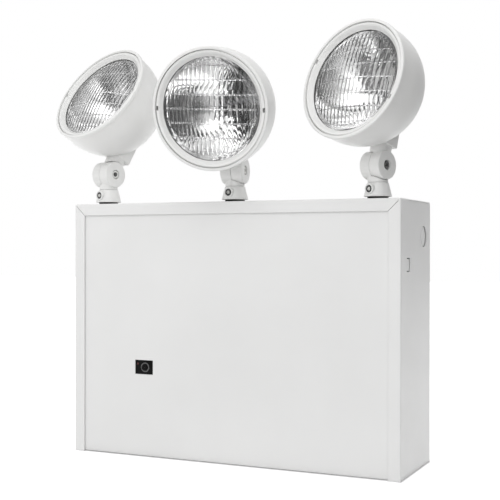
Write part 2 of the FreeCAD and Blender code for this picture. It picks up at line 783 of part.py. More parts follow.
def knuckle_lower(side):
    """Lower half of the knuckle, with the grooved stub that turns in the collar."""
    half = -UPPER_HALF[side]
    collar_top = -TILT_AXIS_ABOVE_COLLAR
    disc = knuckle_half(f"lower_disc_{side}", half, s.knuckle_diameter / 2)
    neck_foot = collar_top + s.collar_seat_gap
    neck = cylinder(f"lower_neck_{side}", s.neck_diameter / 2, -neck_foot, (0, 0, neck_foot))
    trimmed = cut(f"lower_neck_trimmed_{side}", neck, swing_room(f"lower_swing_{side}", -half))
    stub_foot = collar_top - s.collar_height - s.gasket_thickness - s.stem_length
    stub = cylinder(f"stub_{side}", s.stub_diameter / 2, neck_foot - stub_foot + OVER, (0, 0, stub_foot))
    groove_low = collar_top - s.collar_height + s.lock_screw_height - s.stub_groove_width / 2
    groove_at, groove_radius = (0, 0, groove_low), s.stub_diameter / 2 - s.stub_groove_depth
    groove_outer = cylinder(f"groove_outer_{side}", s.stub_diameter, s.stub_groove_width, groove_at)
    groove_inner = cylinder(f"groove_inner_{side}", groove_radius, s.stub_groove_width, groove_at)
    groove = cut(f"stub_groove_{side}", groove_outer, groove_inner)
    bore_length = neck_foot - stub_foot
    wire_bore = cylinder(f"stub_bore_{side}", s.wire_bore_diameter / 2, bore_length, (0, 0, stub_foot))
    body = fuse(f"lower_body_{side}", disc, trimmed, stub)
    holes = bolt_hole(f"lower_bolt_{side}", half)
    return on_pan_axis(cut(f"knuckle_lower_{side}", body, groove, wire_bore, *holes), side)


def tilt_nut(side):
    half = -UPPER_HALF[side]
    seat = s.knuckle_width / 2 - s.knuckle_recess_depth
    start, length = reach(half, seat, seat + s.tilt_nut_height)
    nut = hexagon(f"nut_hex_{side}", s.tilt_nut_across_flats, length, (start, 0, 0), ALONG_X)
    hole_radius = s.tilt_bolt_diameter / 2 + s.screw_gap
    hole = cylinder(f"nut_hole_{side}", hole_radius, length, (start, 0, 0), ALONG_X)
    return on_pan_axis(cut(f"tilt_nut_{side}", nut, hole), side)


def tilt_bolt(side):
    """Bolt from the upper half through the lower half's nut; it turns with the upper half."""
    half = UPPER_HALF[side]
    seat = s.knuckle_width / 2 - s.knuckle_recess_depth
    end = seat + s.tilt_nut_height + s.tilt_bolt_end
    start, length = reach(half, seat, seat + s.tilt_bolt_head_height)
    head_radius = s.tilt_bolt_head_diameter / 2
    head = cylinder(f"bolt_head_{side}", head_radius, length, (start, 0, 0), ALONG_X)
    start, length = reach(half, -end, seat)
    shank = cylinder(f"bolt_shank_{side}", s.tilt_bolt_diameter / 2, length, (start, 0, 0), ALONG_X)
    return on_head(fuse(f"tilt_bolt_{side}", head, shank), side)


# Lamp pieces are turned about their own Z, which runs back from the rim's plane
LAMP_STAND = standing(0, -RIM_AHEAD, HEAD_AXIS, ALONG_Y)


def in_lamp(thing, side, turn=UPRIGHT):
    """Sets a piece that is modelled on the lamp's axis into its tilted head, turned about that axis."""
    thing.setExpression("Placement", f"{head_stand(side)} * {LAMP_STAND} * {standing(0, 0, 0, turn)}")
    return thing


def seat_depth():
    """How far behind the rim's plane the lamp rests on the housing's ledge."""
    return s.bezel_depth + s.lens_rim_thickness + s.reflector_rim_thickness + 3 * s.lamp_seat_gap


def bowl_outside(side):
    """A bead at the rim, a straight band and a half round back."""
    rim = s.bowl_radius + s.rim_bead
    return turned(f"bowl_outside_{side}", [
        (0, 0),
        (rim - s.rim_rounding, 0, s.rim_rounding, -1),
        (rim, s.rim_rounding),
        (rim, s.rim_bead_depth),
        (s.bowl_radius, s.rim_bead_depth + s.rim_bead),
        (s.bowl_radius, s.bowl_band_depth, s.bowl_radius, -1),
        (0, s.bowl_band_depth + s.bowl_radius)])


def bowl_inside(side):
    """The hollow: a mouth for the bezel and lamp, the ledge that the lamp rests on, and the bowl."""
    inside = s.bowl_radius - s.bowl_wall
    ledge = seat_depth()
    return turned(f"bowl_inside_{side}", [
        (0, -OVER),
        (MOUTH_RADIUS, -OVER),
        (MOUTH_RADIUS, ledge),
        (inside - s.lamp_ledge_width, ledge),
        (inside - s.lamp_ledge_width, ledge + s.lamp_ledge_depth),
        (inside, s.bowl_band_depth, inside, -1),
        (0, s.bowl_band_depth + inside)])


# Middle of the bowl's round back, turned so that its Z runs out through the saddle
BOWL_STAND = standing(0, s.bowl_band_depth - RIM_AHEAD, HEAD_AXIS,
                      turning(ABOUT_X, -s.saddle_screw_slant))


def saddle_screw_hole(name):
    """Hole for the screw that holds the bowl on its saddle, from the bowl's middle outwards."""
    radius = s.saddle_screw_diameter / 2 + s.screw_gap
    length = s.bowl_radius + s.saddle_screw_length
    hole = cylinder(name, radius, length)
    hole.setExpression("Placement", BOWL_STAND)
    return hole


def head_shell(side):
    """The bowl: a spun cup with a bead at the rim and a ledge for the lamp."""
    outside, inside = bowl_outside(side), bowl_inside(side)
    outside.setExpression("Placement", LAMP_STAND)
    inside.setExpression("Placement", LAMP_STAND)
    hole = saddle_screw_hole(f"bowl_hole_{side}")
    return on_head(cut(f"head_shell_{side}", outside, inside, hole), side)


def knuckle_upper(side):
    """Upper half of the knuckle, with a neck and the saddle that the bowl sits on."""
    half = UPPER_HALF[side]
    neck_radius = s.upper_neck_diameter / 2
    saddle_size = (s.saddle_width, neck_radius + s.saddle_behind_pan_axis, s.saddle_height)
    saddle_low = (-s.saddle_width / 2, -neck_radius, s.saddle_above_tilt_axis)
    saddle = box(f"saddle_{side}", saddle_size, saddle_low)
    neck = cylinder(f"upper_neck_{side}", neck_radius, s.saddle_above_tilt_axis + s.bowl_wall)
    disc = knuckle_half(f"upper_disc_{side}", half, s.knuckle_diameter / 2)
    seat = doc.addObject("Part::Sphere", f"saddle_seat_{side}")
    bind(seat, Radius=s.bowl_radius + s.saddle_seat_gap)
    seat.setExpression("Placement", BOWL_STAND)
    body = fuse(f"upper_body_{side}", saddle, neck, disc)
    cuts = [seat, saddle_screw_hole(f"saddle_hole_{side}"), swing_room(f"upper_swing_{side}", -half)]
    cuts += bolt_hole(f"upper_bolt_{side}", half)
    return on_head(cut(f"knuckle_upper_{side}", body, *cuts), side)


def saddle_screw(side):
    """Screw from inside the bowl into the saddle."""
    seat = s.bowl_radius - s.bowl_wall - 2 * s.saddle_seat_gap
    head_height = s.saddle_screw_head_height
    head_at = (0, 0, seat - head_height)
    head = cylinder(f"saddle_screw_head_{side}", s.saddle_screw_head_diameter / 2, head_height, head_at)
    radius, length = s.saddle_screw_diameter / 2, s.saddle_screw_length
    shank = cylinder(f"saddle_screw_shank_{side}", radius, length, (0, 0, seat))
    screw = fuse(f"saddle_screw_{side}", head, shank)
    screw.setExpression("Placement", f"{head_stand(side)} * {BOWL_STAND}")
    return screw


def bezel(side):
    """White retaining ring that slopes down to the lens, with two notches for prying it out."""
    front = s.bezel_recess
    ring = turned(f"bezel_ring_{side}", [
        (BEZEL_RADIUS, front + s.bezel_bevel),
        (BEZEL_RADIUS - s.bezel_bevel, front, s.bezel_crown_radius, 1),
        (THROAT_RADIUS, s.bezel_depth - s.bezel_edge_thickness),
        (THROAT_RADIUS, s.bezel_depth),
        (BEZEL_RADIUS, s.bezel_depth)])
    notches = []
    size = (s.bezel_notch_depth, s.bezel_notch_width, s.bezel_depth)
    for name, low_x in (("left", -BEZEL_RADIUS), ("right", BEZEL_RADIUS - s.bezel_notch_depth)):
        notches.append(box(f"bezel_notch_{name}_{side}", size, (low_x, -s.bezel_notch_width / 2, 0)))
    turn = turning(ABOUT_Z, getattr(s, f"bezel_turn_{side}"))
    return in_lamp(cut(f"bezel_{side}", ring, *notches), side, turn)


def lens(side):
    """Domed glass; its inside is fluted by one cut turned about a level axis through the dome's centre."""
    front = s.bezel_depth + s.lamp_seat_gap
    back = front + s.lens_rim_thickness
    edge = THROAT_RADIUS - s.lamp_seat_gap
    rise = s.lens_dome_rise
    dome_radius = (edge * edge + rise * rise) / (2 * rise)
    dome_middle = front - rise + dome_radius
    dome = turned(f"lens_dome_{side}", [
        (0, front - rise, dome_radius, -1),
        (edge, front),
        (LAMP_RADIUS, front),
        (LAMP_RADIUS, back),
        (0, back)])
    inner_radius = dome_radius - s.glass_thickness
    flutes = flute_cutter(side, inner_radius)
    place(flutes, 0, 0, dome_middle, turning(ABOUT_X, -FLUTE_SWEEP / 2))
    rows = row_cutters(side, inner_radius, dome_middle)
    turn = turning(ABOUT_Z, getattr(s, f"lens_turn_{side}"))
    return in_lamp(cut(f"lens_{side}", dome, flutes, *rows), side, turn)


def row_cutters(side, inner_radius, dome_middle):
    """Thin level discs about the dome's middle, each of which cuts one groove across the flutes."""
    discs = []
    width = s.lens_row_groove_width
    for row in range(LENS_ROWS):
        height = (row - (LENS_ROWS - 1) / 2) * s.lens_row_pitch
        radius = root(inner_radius * inner_radius - height * height) + s.lens_row_groove_depth
        at = (0, height - width / 2, dome_middle)
        discs.append(cylinder(f"lens_row_{row}_{side}", radius, width, at, ALONG_Y))
    return discs


def flute_cutter(side, inner_radius):
    """The space behind the glass, scalloped so that each arc leaves a vertical flute."""
    pitch, depth = s.flute_pitch, s.flute_depth
    scallop = (pitch * pitch / 4 + depth * depth) / (2 * depth)
    hollow = LAMP_RADIUS / 2
    corners = []
    for step in range(FLUTES + 1):
        x = (step - FLUTES / 2) * pitch
        y = -root(inner_radius * inner_radius - x * x)
        corners.append((x, y, scallop, -1) if step < FLUTES else (x, y))
    last = FLUTES / 2 * pitch
    corners.append((last, hollow - inner_radius))
    corners.append((-last, hollow - inner_radius))
    return turned(f"lens_flutes_{side}", corners, axis="H_Axis", angle=FLUTE_SWEEP)


def reflector_front():
    return s.bezel_depth + s.lens_rim_thickness + 2 * s.lamp_seat_gap


def reflector(side):
    """Aluminised glass dish that closes the lamp behind the lens."""
    front = reflector_front()
    base = front + s.reflector_depth
    wall = s.reflector_wall
    mouth = LAMP_RADIUS - s.reflector_rim_width
    rim_back = front + s.reflector_rim_thickness
    dish = turned(f"reflector_{side}", [
        (0, base),
        (s.reflector_base_radius, base, s.reflector_curve_radius, 1),
        (mouth, front),
        (LAMP_RADIUS, front),
        (LAMP_RADIUS, rim_back),
        (mouth + wall, rim_back, s.reflector_curve_radius + wall, -1),
        (s.reflector_base_radius + wall, base + wall),
        (0, base + wall)])
    return in_lamp(dish, side)


def filament(side):
    """Coil on two posts that stand on the reflector's base."""
    base = reflector_front() + s.reflector_depth
    at_coil = base - s.filament_before_base
    half = s.filament_length / 2
    coil_at = (-half, 0, at_coil)
    coil = cylinder(f"filament_coil_{side}", s.filament_diameter / 2, s.filament_length, coil_at, ALONG_X)
    posts = []
    for name, x in (("left", -half), ("right", half)):
        radius, length = s.filament_post_diameter / 2, s.filament_before_base
        posts.append(cylinder(f"filament_post_{name}_{side}", radius, length, (x, 0, at_coil)))
    return in_lamp(fuse(f"filament_{side}", coil, *posts), side)


def lamp_terminals(side):
    """Two screw posts on the back of the lamp."""
    back = reflector_front() + s.reflector_depth + s.reflector_wall
    posts = []
    radius, length = s.lamp_terminal_diameter / 2, s.lamp_terminal_length
    for name, x in (("left", -s.lamp_terminal_spacing / 2), ("right", s.lamp_terminal_spacing / 2)):
        posts.append(cylinder(f"lamp_post_{name}_{side}", radius, length, (x, 0, back)))
    return in_lamp(group(f"lamp_terminals_{side}", posts), side)


def battery_low():
    """Low corner of the battery on its tray."""
    return (s.battery_right_of_centre - s.battery_length / 2,
            INNER_BACK - s.steel_thickness - s.tray_edge_gap - s.battery_depth,
            s.tray_above_bottom + s.steel_thickness)


def battery():
    """Sealed lead-acid block with a stepped lid."""
    low = battery_low()
    case_height = s.battery_height - s.battery_lid_height
    case = box("battery_case", (s.battery_length, s.battery_depth, case_height), low)
    inset = s.battery_lid_inset
    lid_size = (s.battery_length - 2 * inset, s.battery_depth - 2 * inset, s.battery_lid_height)
    lid = box("battery_lid", lid_size, (low[0] + inset, low[1] + inset, low[2] + case_height))
    return fuse("battery", case, lid)


def battery_terminals():
    x, y, z = battery_low()
    inset = s.battery_tab_inset
    size = (s.battery_tab_width, s.battery_tab_thickness, s.battery_tab_height)
    tabs = []
    for name, middle in (("left", x + inset), ("right", x + s.battery_length - inset)):
        at = (middle - s.battery_tab_width / 2, y + inset, z + s.battery_height)
        tabs.append(box(f"battery_tab_{name}", size, at))
    return group("battery_terminals", tabs)


def battery_tray():
    """Shelf folded from one sheet: a leg on the back wall, a floor and a front lip."""
    thickness, gap = s.steel_thickness, s.tray_edge_gap
    low = battery_low()
    width = s.battery_length
    front = low[1] - gap - thickness
    floor_size = (width, INNER_BACK - front, thickness)
    floor = box("tray_floor", floor_size, (low[0], front, s.tray_above_bottom))
    leg_low = (low[0], INNER_BACK - thickness, s.tray_above_bottom)
    leg = box("tray_leg", (width, thickness, s.tray_leg_height), leg_low)
    lip = box("tray_lip", (width, thickness, s.tray_lip_height), (low[0], front, s.tray_above_bottom))
    return fuse("battery_tray", floor, leg, lip)


def battery_strap():
    """Band from the back wall over the battery and down to the tray's lip."""
    thickness, gap = s.steel_thickness, s.strap_gap
    low = battery_low()
    x = s.battery_right_of_centre - s.strap_width / 2
    width = s.strap_width
    over_top = low[2] + s.battery_height + gap
    front = low[1] - s.tray_edge_gap - 2 * thickness
    band = box("strap_band", (width, INNER_BACK - front, thickness), (x, front, over_top))
    foot = box("strap_foot_piece", (width, thickness, s.strap_foot), (x, INNER_BACK - thickness, over_top))
    drop_size = (width, thickness, over_top - s.tray_above_bottom + thickness)
    drop = box("strap_drop", drop_size, (x, front, s.tray_above_bottom))
    return fuse("battery_strap", band, foot, drop)


def transformer_centre():
    """Middle of the core, whose coil stands clear of the back wall."""
    return (-s.transformer_left_of_centre,
            INNER_BACK - s.coil_wall_gap - s.coil_overhang - s.core_stack / 2,
            s.transformer_above_bottom + s.core_height / 2)


def transformer_core():
    """Laminated core with two windows beside its middle leg."""
    x, y, z = transformer_centre()
    half_width, half_stack, half_height = s.core_width / 2, s.core_stack / 2, s.core_height / 2
    stack_size = (s.core_width, s.core_stack, s.core_height)
    stack = box("core_stack_block", stack_size, (x - half_width, y - half_stack, z - half_height))
    opening = (s.core_leg, s.core_stack + 2 * OVER, s.core_height - 2 * s.core_leg)
    low_z = z - half_height + s.core_leg
    left = box("core_window_left", opening, (x - 2 * s.core_leg, y - half_stack - OVER, low_z))
    right = box("core_window_right", opening, (x + s.core_leg, y - half_stack - OVER, low_z))
    return cut("transformer_core", stack, left, right)


def transformer_coil():
    """Winding around the middle leg, through both windows."""
    x, y, z = transformer_centre()
    gap = s.coil_gap
    half_width = 2 * s.core_leg - gap
    half_depth = s.core_stack / 2 + s.coil_overhang
    height = s.core_height - 2 * s.core_leg - 2 * gap
    winding_size = (2 * half_width, 2 * half_depth, height)
    winding = box("coil_winding", winding_size, (x - half_width, y - half_depth, z - height / 2))
    leg_width, leg_depth = s.core_leg + gap, s.core_stack / 2 + gap
    hole_size = (2 * leg_width, 2 * leg_depth, height + 2 * OVER)
    hole = box("coil_hole", hole_size, (x - leg_width, y - leg_depth, z - height / 2 - OVER))
    return cut("transformer_coil", winding, hole)


def bracket_places():
    """On each side of the core: its outer face, the way outwards and the screw's place in the foot."""
    x, half = transformer_centre()[0], s.core_width / 2
    out = half + s.bracket_screw_out
    return [("left", x - half, -1, x - out), ("right", x + half, 1, x + out)]


def transformer_brackets():
    """An angle on each side of the core, with its foot on the back wall."""
    thickness = s.steel_thickness
    _, y, z = transformer_centre()
    front = y - s.core_stack / 2
    low_z = z - s.bracket_width / 2
    leg_size = (thickness, INNER_BACK - front, s.bracket_width)
    foot_size = (s.bracket_foot, thickness, s.bracket_width)
    radius, through = s.transformer_screw_diameter / 2, thickness + 2 * OVER
    angles = []
    for name, face, way, screw_x in bracket_places():
        leg_x = face if way > 0 else face - thickness
        foot_x = face if way > 0 else face - s.bracket_foot
        leg = box(f"bracket_leg_{name}", leg_size, (leg_x, front, low_z))
        foot = box(f"bracket_foot_{name}", foot_size, (foot_x, INNER_BACK - thickness, low_z))
        hole_at = (screw_x, INNER_BACK - thickness - OVER, z)
        hole = cylinder(f"bracket_hole_{name}", radius, through, hole_at, ALONG_Y)
        angles.append(cut(f"bracket_{name}", fuse(f"bracket_angle_{name}", leg, foot), hole))
    return group("transformer_brackets", angles)


def transformer_screws():
    screws = []
    z = transformer_centre()[2]
    seat = INNER_BACK - s.steel_thickness
    radius, head_radius = s.transformer_screw_diameter / 2, s.transformer_screw_head_diameter / 2
    for name, _, _, x in bracket_places():
        at = (x, seat, z)
        head_height = s.transformer_screw_head_height
        head = cylinder(f"transformer_head_{name}", head_radius, head_height, at, TOWARDS_FRONT)
        shank = cylinder(f"transformer_shank_{name}", radius, s.steel_thickness, at, ALONG_Y)
        screws.append(fuse(f"transformer_screw_{name}", head, shank))
    return group("transformer_screws", screws)


def board_back():
    """Face of the charger board that looks at the back wall."""
    return INNER_BACK - s.standoff_height


def board_front():
    return board_back() - s.board_thickness


def board_holes():
    """Places of the board's four screws."""
    low_x, low_z = s.board_right_of_centre - s.board_width / 2, s.board_above_bottom
    inset = s.board_hole_inset
    places = []
    for across, x in (("left", low_x + inset), ("right", low_x + s.board_width - inset)):
        for up, z in (("low", low_z + inset), ("high", low_z + s.board_height - inset)):
            places.append((f"{across}_{up}", x, z))
    return places


def charger_board():
    size = (s.board_width, s.board_thickness, s.board_height)
    low = (s.board_right_of_centre - s.board_width / 2, board_front(), s.board_above_bottom)
    plate = box("board_plate", size, low)
    holes = [cylinder(f"board_hole_{name}", s.board_screw_diameter / 2, s.board_thickness + 2 * OVER,
                      (x, board_front() - OVER, z), ALONG_Y) for name, x, z in board_holes()]
    return cut("charger_board", plate, *holes)


def board_standoffs():
    posts = []
    for name, x, z in board_holes():
        at = (x, board_back(), z)
        post = cylinder(f"standoff_post_{name}", s.standoff_diameter / 2, s.standoff_height, at, ALONG_Y)
        hole_radius, depth = s.board_screw_diameter / 2, s.standoff_hole_depth
        hole = cylinder(f"standoff_hole_{name}", hole_radius, depth, at, ALONG_Y)
        posts.append(cut(f"standoff_{name}", post, hole))
    return group("board_standoffs", posts)


def board_screws():
    screws = []
    for name, x, z in board_holes():
        at = (x, board_front(), z)
        head_radius, head_height = s.board_screw_head_diameter / 2, s.board_screw_head_height
        head = cylinder(f"board_head_{name}", head_radius, head_height, at, TOWARDS_FRONT)
        length = s.board_thickness + s.standoff_hole_depth - s.board_screw_end_gap
        shank = cylinder(f"board_shank_{name}", s.board_screw_diameter / 2, length, at, ALONG_Y)
        screws.append(fuse(f"board_screw_{name}", head, shank))
    return group("board_screws", screws)


def transfer_relay():
    """Relay that switches the lamps to the battery, on the lower left of the board."""
    low_x = s.board_right_of_centre - s.board_width / 2 + s.relay_inset
    low = (low_x, board_front() - s.relay_depth, s.board_above_bottom + s.relay_inset)
    return box("transfer_relay", (s.relay_width, s.relay_depth, s.relay_height), low)


def terminal_block():
    """Row of screw terminals along the board's upper edge, with a well over each screw."""
    low_x = s.board_right_of_centre - s.terminal_block_width / 2
    low_y = board_front() - s.terminal_block_depth
    low_z = s.board_above_bottom + s.board_height - s.terminal_block_inset - s.terminal_block_height
    size = (s.terminal_block_width, s.terminal_block_depth, s.terminal_block_height)
    block = box("terminal_strip", size, (low_x, low_y, low_z))
    pitch = s.terminal_block_width / TERMINALS
    wells = []
    for way in range(TERMINALS):
        at = (low_x + (way + 0.5) * pitch, low_y, low_z + s.terminal_block_height / 2)
        radius, depth = s.terminal_well_diameter / 2, s.terminal_well_depth
        wells.append(cylinder(f"terminal_well_{way}", radius, depth, at, ALONG_Y))
    return cut("terminal_block", block, *wells)


def build():
    """Every node of the part, in the order in which the light comes apart."""
    nodes = [cabinet_shell(), front_cover(), cover_screws(), switch_insert(), pilot_lamp(), test_button(),
             test_switch(), collar_gaskets(), lock_screws(), collar_locknuts()]
    head_pieces = (collar, knuckle_lower, tilt_nut, knuckle_upper, tilt_bolt, head_shell, saddle_screw,
                   bezel, lens, reflector, filament, lamp_terminals)
    for make in head_pieces:
        nodes += [make(side) for side in SIDES]
    nodes += [battery_tray(), battery(), battery_terminals(), battery_strap(), transformer_core(),
              transformer_coil(), transformer_brackets(), transformer_screws(), charger_board(),
              board_standoffs(), board_screws(), transfer_relay(), terminal_block()]
    doc.recompute()
    return nodes


def check(nodes):
    """Stops if any feature failed or a node's shape is missing or not valid."""
    for thing in doc.Objects:
        if "Invalid" in thing.State or "Error" in thing.State:
            raise RuntimeError(f"{thing.Name} failed: {thing.State}")
    for node in nodes:
        if node.Shape.isNull() or not node.Shape.isValid() or not node.Shape.Solids:
            raise RuntimeError(f"{node.Label} has no valid solid")


def write(nodes):
    os.makedirs("parts", exist_ok=True)
    for node in nodes:
        node.Shape.exportStep(f"parts/{node.Label}.step")


pieces = build()
check(pieces)
write(pieces)
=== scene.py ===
"""Looks of the emergency light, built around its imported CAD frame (row frame, metres)."""

import math

import bmesh
import bpy
import numpy as np
from mathutils import Matrix, Vector

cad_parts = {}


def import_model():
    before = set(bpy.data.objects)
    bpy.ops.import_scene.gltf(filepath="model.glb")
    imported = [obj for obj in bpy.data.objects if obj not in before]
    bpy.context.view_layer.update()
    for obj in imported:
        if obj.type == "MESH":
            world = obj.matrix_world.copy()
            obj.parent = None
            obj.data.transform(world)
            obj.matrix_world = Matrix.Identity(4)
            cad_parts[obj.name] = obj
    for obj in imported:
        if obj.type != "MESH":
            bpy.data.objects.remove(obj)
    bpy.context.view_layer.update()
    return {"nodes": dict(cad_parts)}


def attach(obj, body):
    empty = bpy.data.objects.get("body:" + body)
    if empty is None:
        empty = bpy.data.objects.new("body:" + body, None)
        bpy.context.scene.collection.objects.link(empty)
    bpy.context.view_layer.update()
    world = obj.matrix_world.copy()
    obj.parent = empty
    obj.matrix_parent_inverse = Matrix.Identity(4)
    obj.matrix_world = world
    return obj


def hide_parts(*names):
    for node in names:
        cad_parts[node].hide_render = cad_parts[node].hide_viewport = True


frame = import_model()

# Sizes in millimetres, as in the CAD source
MM = 0.001
TOP = 282.0                               # height of the cabinet's top
COVER_FACE = -54.0                        # front face of the cover
SIDES = ("left", "middle", "right")
HEAD_X = {"left": -162.0, "middle": 0.0, "right": 162.0}
PAN_Y, COLLAR_FOOT, TILT_Z = -33.5, 284.5, 316.4
RIM_AHEAD, HEAD_AXIS = 62.7, 70.7         # from the tilt axis to the bowl's rim, and up to the lamp's axis
LAMP_RADIUS = 57.4
WINDOW = (-102.3, 99.3)                   # centre of the switch window on the cover
BUTTON_X = WINDOW[0] + 1.5
PILOT = (WINDOW[0] - 8.0, WINDOW[1] + 3.6)

# Turns at rest, in degrees
PAN = {"left": -15.2, "middle": 5.2, "right": -21.1}
TILT = {"left": 31.9, "middle": -11.6, "right": 14.9}
LENS_TURN = {"left": 4.0, "middle": 3.5, "right": 1.5}
BEZEL_TURN = {"left": 3.5, "middle": 3.7, "right": 25.5}
LOCK_TURN = {"left": -15.0, "middle": -5.0, "right": -22.0}
HAND = {"left": -1, "middle": 1, "right": 1}    # the way that a head's half of its knuckle faces

scene = bpy.context.scene
scene.view_settings.view_transform = "Standard"


def turn(axis, degrees):
    return Matrix.Rotation(math.radians(degrees), 4, axis)


def shift(x, y, z):
    return Matrix.Translation((x, y, z))


ALONG_X = turn("Y", 90)
ALONG_Y = turn("X", -90)
TO_FRONT = turn("X", 90)
TO_METRES = Matrix.Scale(MM, 4)


def on_collar(side):
    return shift(HEAD_X[side], PAN_Y, COLLAR_FOOT) @ turn("Z", LOCK_TURN[side])


def on_pan(side):
    return shift(HEAD_X[side], PAN_Y, TILT_Z) @ turn("Z", PAN[side])


def on_head(side):
    return on_pan(side) @ turn("X", -TILT[side])


def in_lamp(side, roll=0.0):
    """The lamp's own frame: Z from the rim backwards along its axis."""
    return on_head(side) @ shift(0, -RIM_AHEAD, HEAD_AXIS) @ ALONG_Y @ turn("Z", roll)


# Meshes

ON_AXIS = 1e-6              # a profile's radius below this lies on the axis
MERGE, CAD_MERGE = 1e-5, 1e-3             # points closer than this are one
FLAT, EDGE = math.radians(0.5), math.radians(40)    # angles of faces that are one, and of an edge
CRISP = 32                  # degrees; sharper edges stay crisp in the shading
FOLD_RADIUS = 1.5
NEAR = 0.01                 # a point this close to a plane lies in it


def new_object(name, verts=(), faces=()):
    mesh = bpy.data.meshes.new(name)
    mesh.from_pydata([tuple(v) for v in verts], [], faces)
    mesh.validate()
    obj = bpy.data.objects.new(name, mesh)
    scene.collection.objects.link(obj)
    return obj


def fillet(corners, steps=5):
    """A polyline from corners (x, y) or (x, y, radius); a corner with a radius is rounded."""
    out = []
    count = len(corners)
    for i, corner in enumerate(corners):
        p = np.array(corner[:2], float)
        radius = corner[2] if len(corner) > 2 else 0
        if radius <= 0:
            out.append(tuple(p))
            continue
        a = np.array(corners[i - 1][:2], float) - p
        b = np.array(corners[(i + 1) % count][:2], float) - p
        a, b = a / np.linalg.norm(a), b / np.linalg.norm(b)
        half = math.acos(max(-1, min(1, float(a @ b)))) / 2
        reach = radius / math.tan(half)
        centre = p + (a + b) / np.linalg.norm(a + b) * radius / math.sin(half)
        start, end = p + a * reach - centre, p + b * reach - centre
        for step in range(steps + 1):
            mix = start + (end - start) * step / steps
            out.append(tuple(centre + mix / np.linalg.norm(mix) * radius))
    return out


def arc(centre, radius, start, end, steps):
    """Points of an arc, with angles in degrees from +x."""
    angles = np.radians(np.linspace(start, end, steps + 1))
    return [(centre[0] + radius * math.cos(a), centre[1] + radius * math.sin(a)) for a in angles]


def arc_between(a, b, radius, side, steps):
    """Points of an arc from a to b that bulges to one side."""
    a, b = np.array(a, float), np.array(b, float)
    middle, half = (a + b) / 2, (b - a) / 2
    normal = np.array([-half[1], half[0]]) / np.linalg.norm(half)
    centre = middle - normal * side * math.sqrt(radius ** 2 - half @ half)
    start = math.atan2(*(a - centre)[::-1])
    sweep = math.remainder(math.atan2(*(b - centre)[::-1]) - start, 2 * math.pi)
    angles = [start + sweep * k / steps for k in range(steps + 1)]
    return [tuple(centre + radius * np.array([math.cos(t), math.sin(t)])) for t in angles]


def lathe(name, profile, segments=96):
    """A closed solid turned about Z from (radius, height) points; the loop may begin and end on the axis."""
    verts, rings = [], []
    for radius, height in profile:
        if radius < ON_AXIS:
            rings.append([len(verts)] * segments)
            verts.append((0, 0, height))
            continue
        rings.append(list(range(len(verts), len(verts) + segments)))
        for k in range(segments):
            a = 2 * math.pi * k / segments
            verts.append((radius * math.cos(a), radius * math.sin(a), height))
    faces = []
    on_axis = profile[0][0] < ON_AXIS and profile[-1][0] < ON_AXIS
    pairs = list(zip(rings, rings[1:])) + ([] if on_axis else [(rings[-1], rings[0])])
    for low, high in pairs:
        for k in range(segments):
            n = (k + 1) % segments
            face = [low[k], low[n], high[n], high[k]]
            face = [v for i, v in enumerate(face) if v != face[i - 1]]
            if len(face) > 2:
                faces.append(face)
    return tidy(new_object(name, verts, faces))


def rod(name, radius, low, high, segments=96):
    """A plain cylinder about Z."""
    return lathe(name, [(0, low), (radius, low), (radius, high), (0, high)], segments)


def bevel_edges(mesh, edges, offset, segments, clamp=False):
    bmesh.ops.bevel(mesh, geom=edges, offset=offset, segments=segments, affect="EDGES",
                    profile=0.5, clamp_overlap=clamp)


def from_bmesh(mesh, obj):
    """Puts a bmesh into an object and frees it."""
    mesh.to_mesh(obj.data)
    mesh.free()
    return obj


def box(name, low, high, bevel=0.0):
    mesh = bmesh.new()
    bmesh.ops.create_cube(mesh, size=1)
    for v in mesh.verts:
        v.co = Vector([lo + (c + 0.5) * (hi - lo) for c, lo, hi in zip(v.co, low, high)])
    if bevel > 0:
        bevel_edges(mesh, mesh.edges[:], bevel, 3)
    return from_bmesh(mesh, new_object(name))


def tidy(obj):
    """Merges coincident points and turns all faces outwards."""
    mesh = bmesh.new()
    mesh.from_mesh(obj.data)
    bmesh.ops.remove_doubles(mesh, verts=mesh.verts, dist=MERGE)
    bmesh.ops.recalc_face_normals(mesh, faces=mesh.faces)
    return from_bmesh(mesh, obj)


def moved(obj, matrix):
    obj.data.transform(matrix)
    return obj


def joined(first, *others):
    """Several meshes in one object, as separate solids."""
    for other in others:
        mesh = bmesh.new()
        mesh.from_mesh(first.data)
        mesh.from_mesh(other.data)
        from_bmesh(mesh, first)
        bpy.data.objects.remove(other)
    return first


def evaluated_mesh(obj):
    graph = bpy.context.evaluated_depsgraph_get()
    return bpy.data.meshes.new_from_object(obj.evaluated_get(graph))


def apply_modifiers(obj):
    mesh = evaluated_mesh(obj)
    obj.modifiers.clear()
    obj.data = mesh


def boolean(base, kind, *tools):
    """base united with the tools, or cut or clipped by them; the tools are used up."""
    for tool in tools:
        modifier = base.modifiers.new("boolean", "BOOLEAN")
        modifier.operation = kind
        modifier.solver = "EXACT"
        modifier.object = tool
        apply_modifiers(base)
        bpy.data.objects.remove(tool)
    return tidy(base)


def piece(obj, name, body, stands_for, material, crisp=CRISP):
    """Gives a finished mesh, in millimetres, its name, body and material, and hides the node that it stands
    for.
    """
    moved(obj, TO_METRES)
    obj.name = obj.data.name = name
    obj.data.materials.clear()
    obj.data.materials.append(material)
    obj.data.polygons.foreach_set("use_smooth", [True] * len(obj.data.polygons))
    obj.data.set_sharp_from_angle(angle=math.radians(crisp))
    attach(obj, body)
    if stands_for:
        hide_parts(stands_for)


def look(obj, node, body, material, crisp=CRISP):
    """The finished mesh that stands for one CAD node."""
    piece(obj, f"{node}_look", body, node, material, crisp)


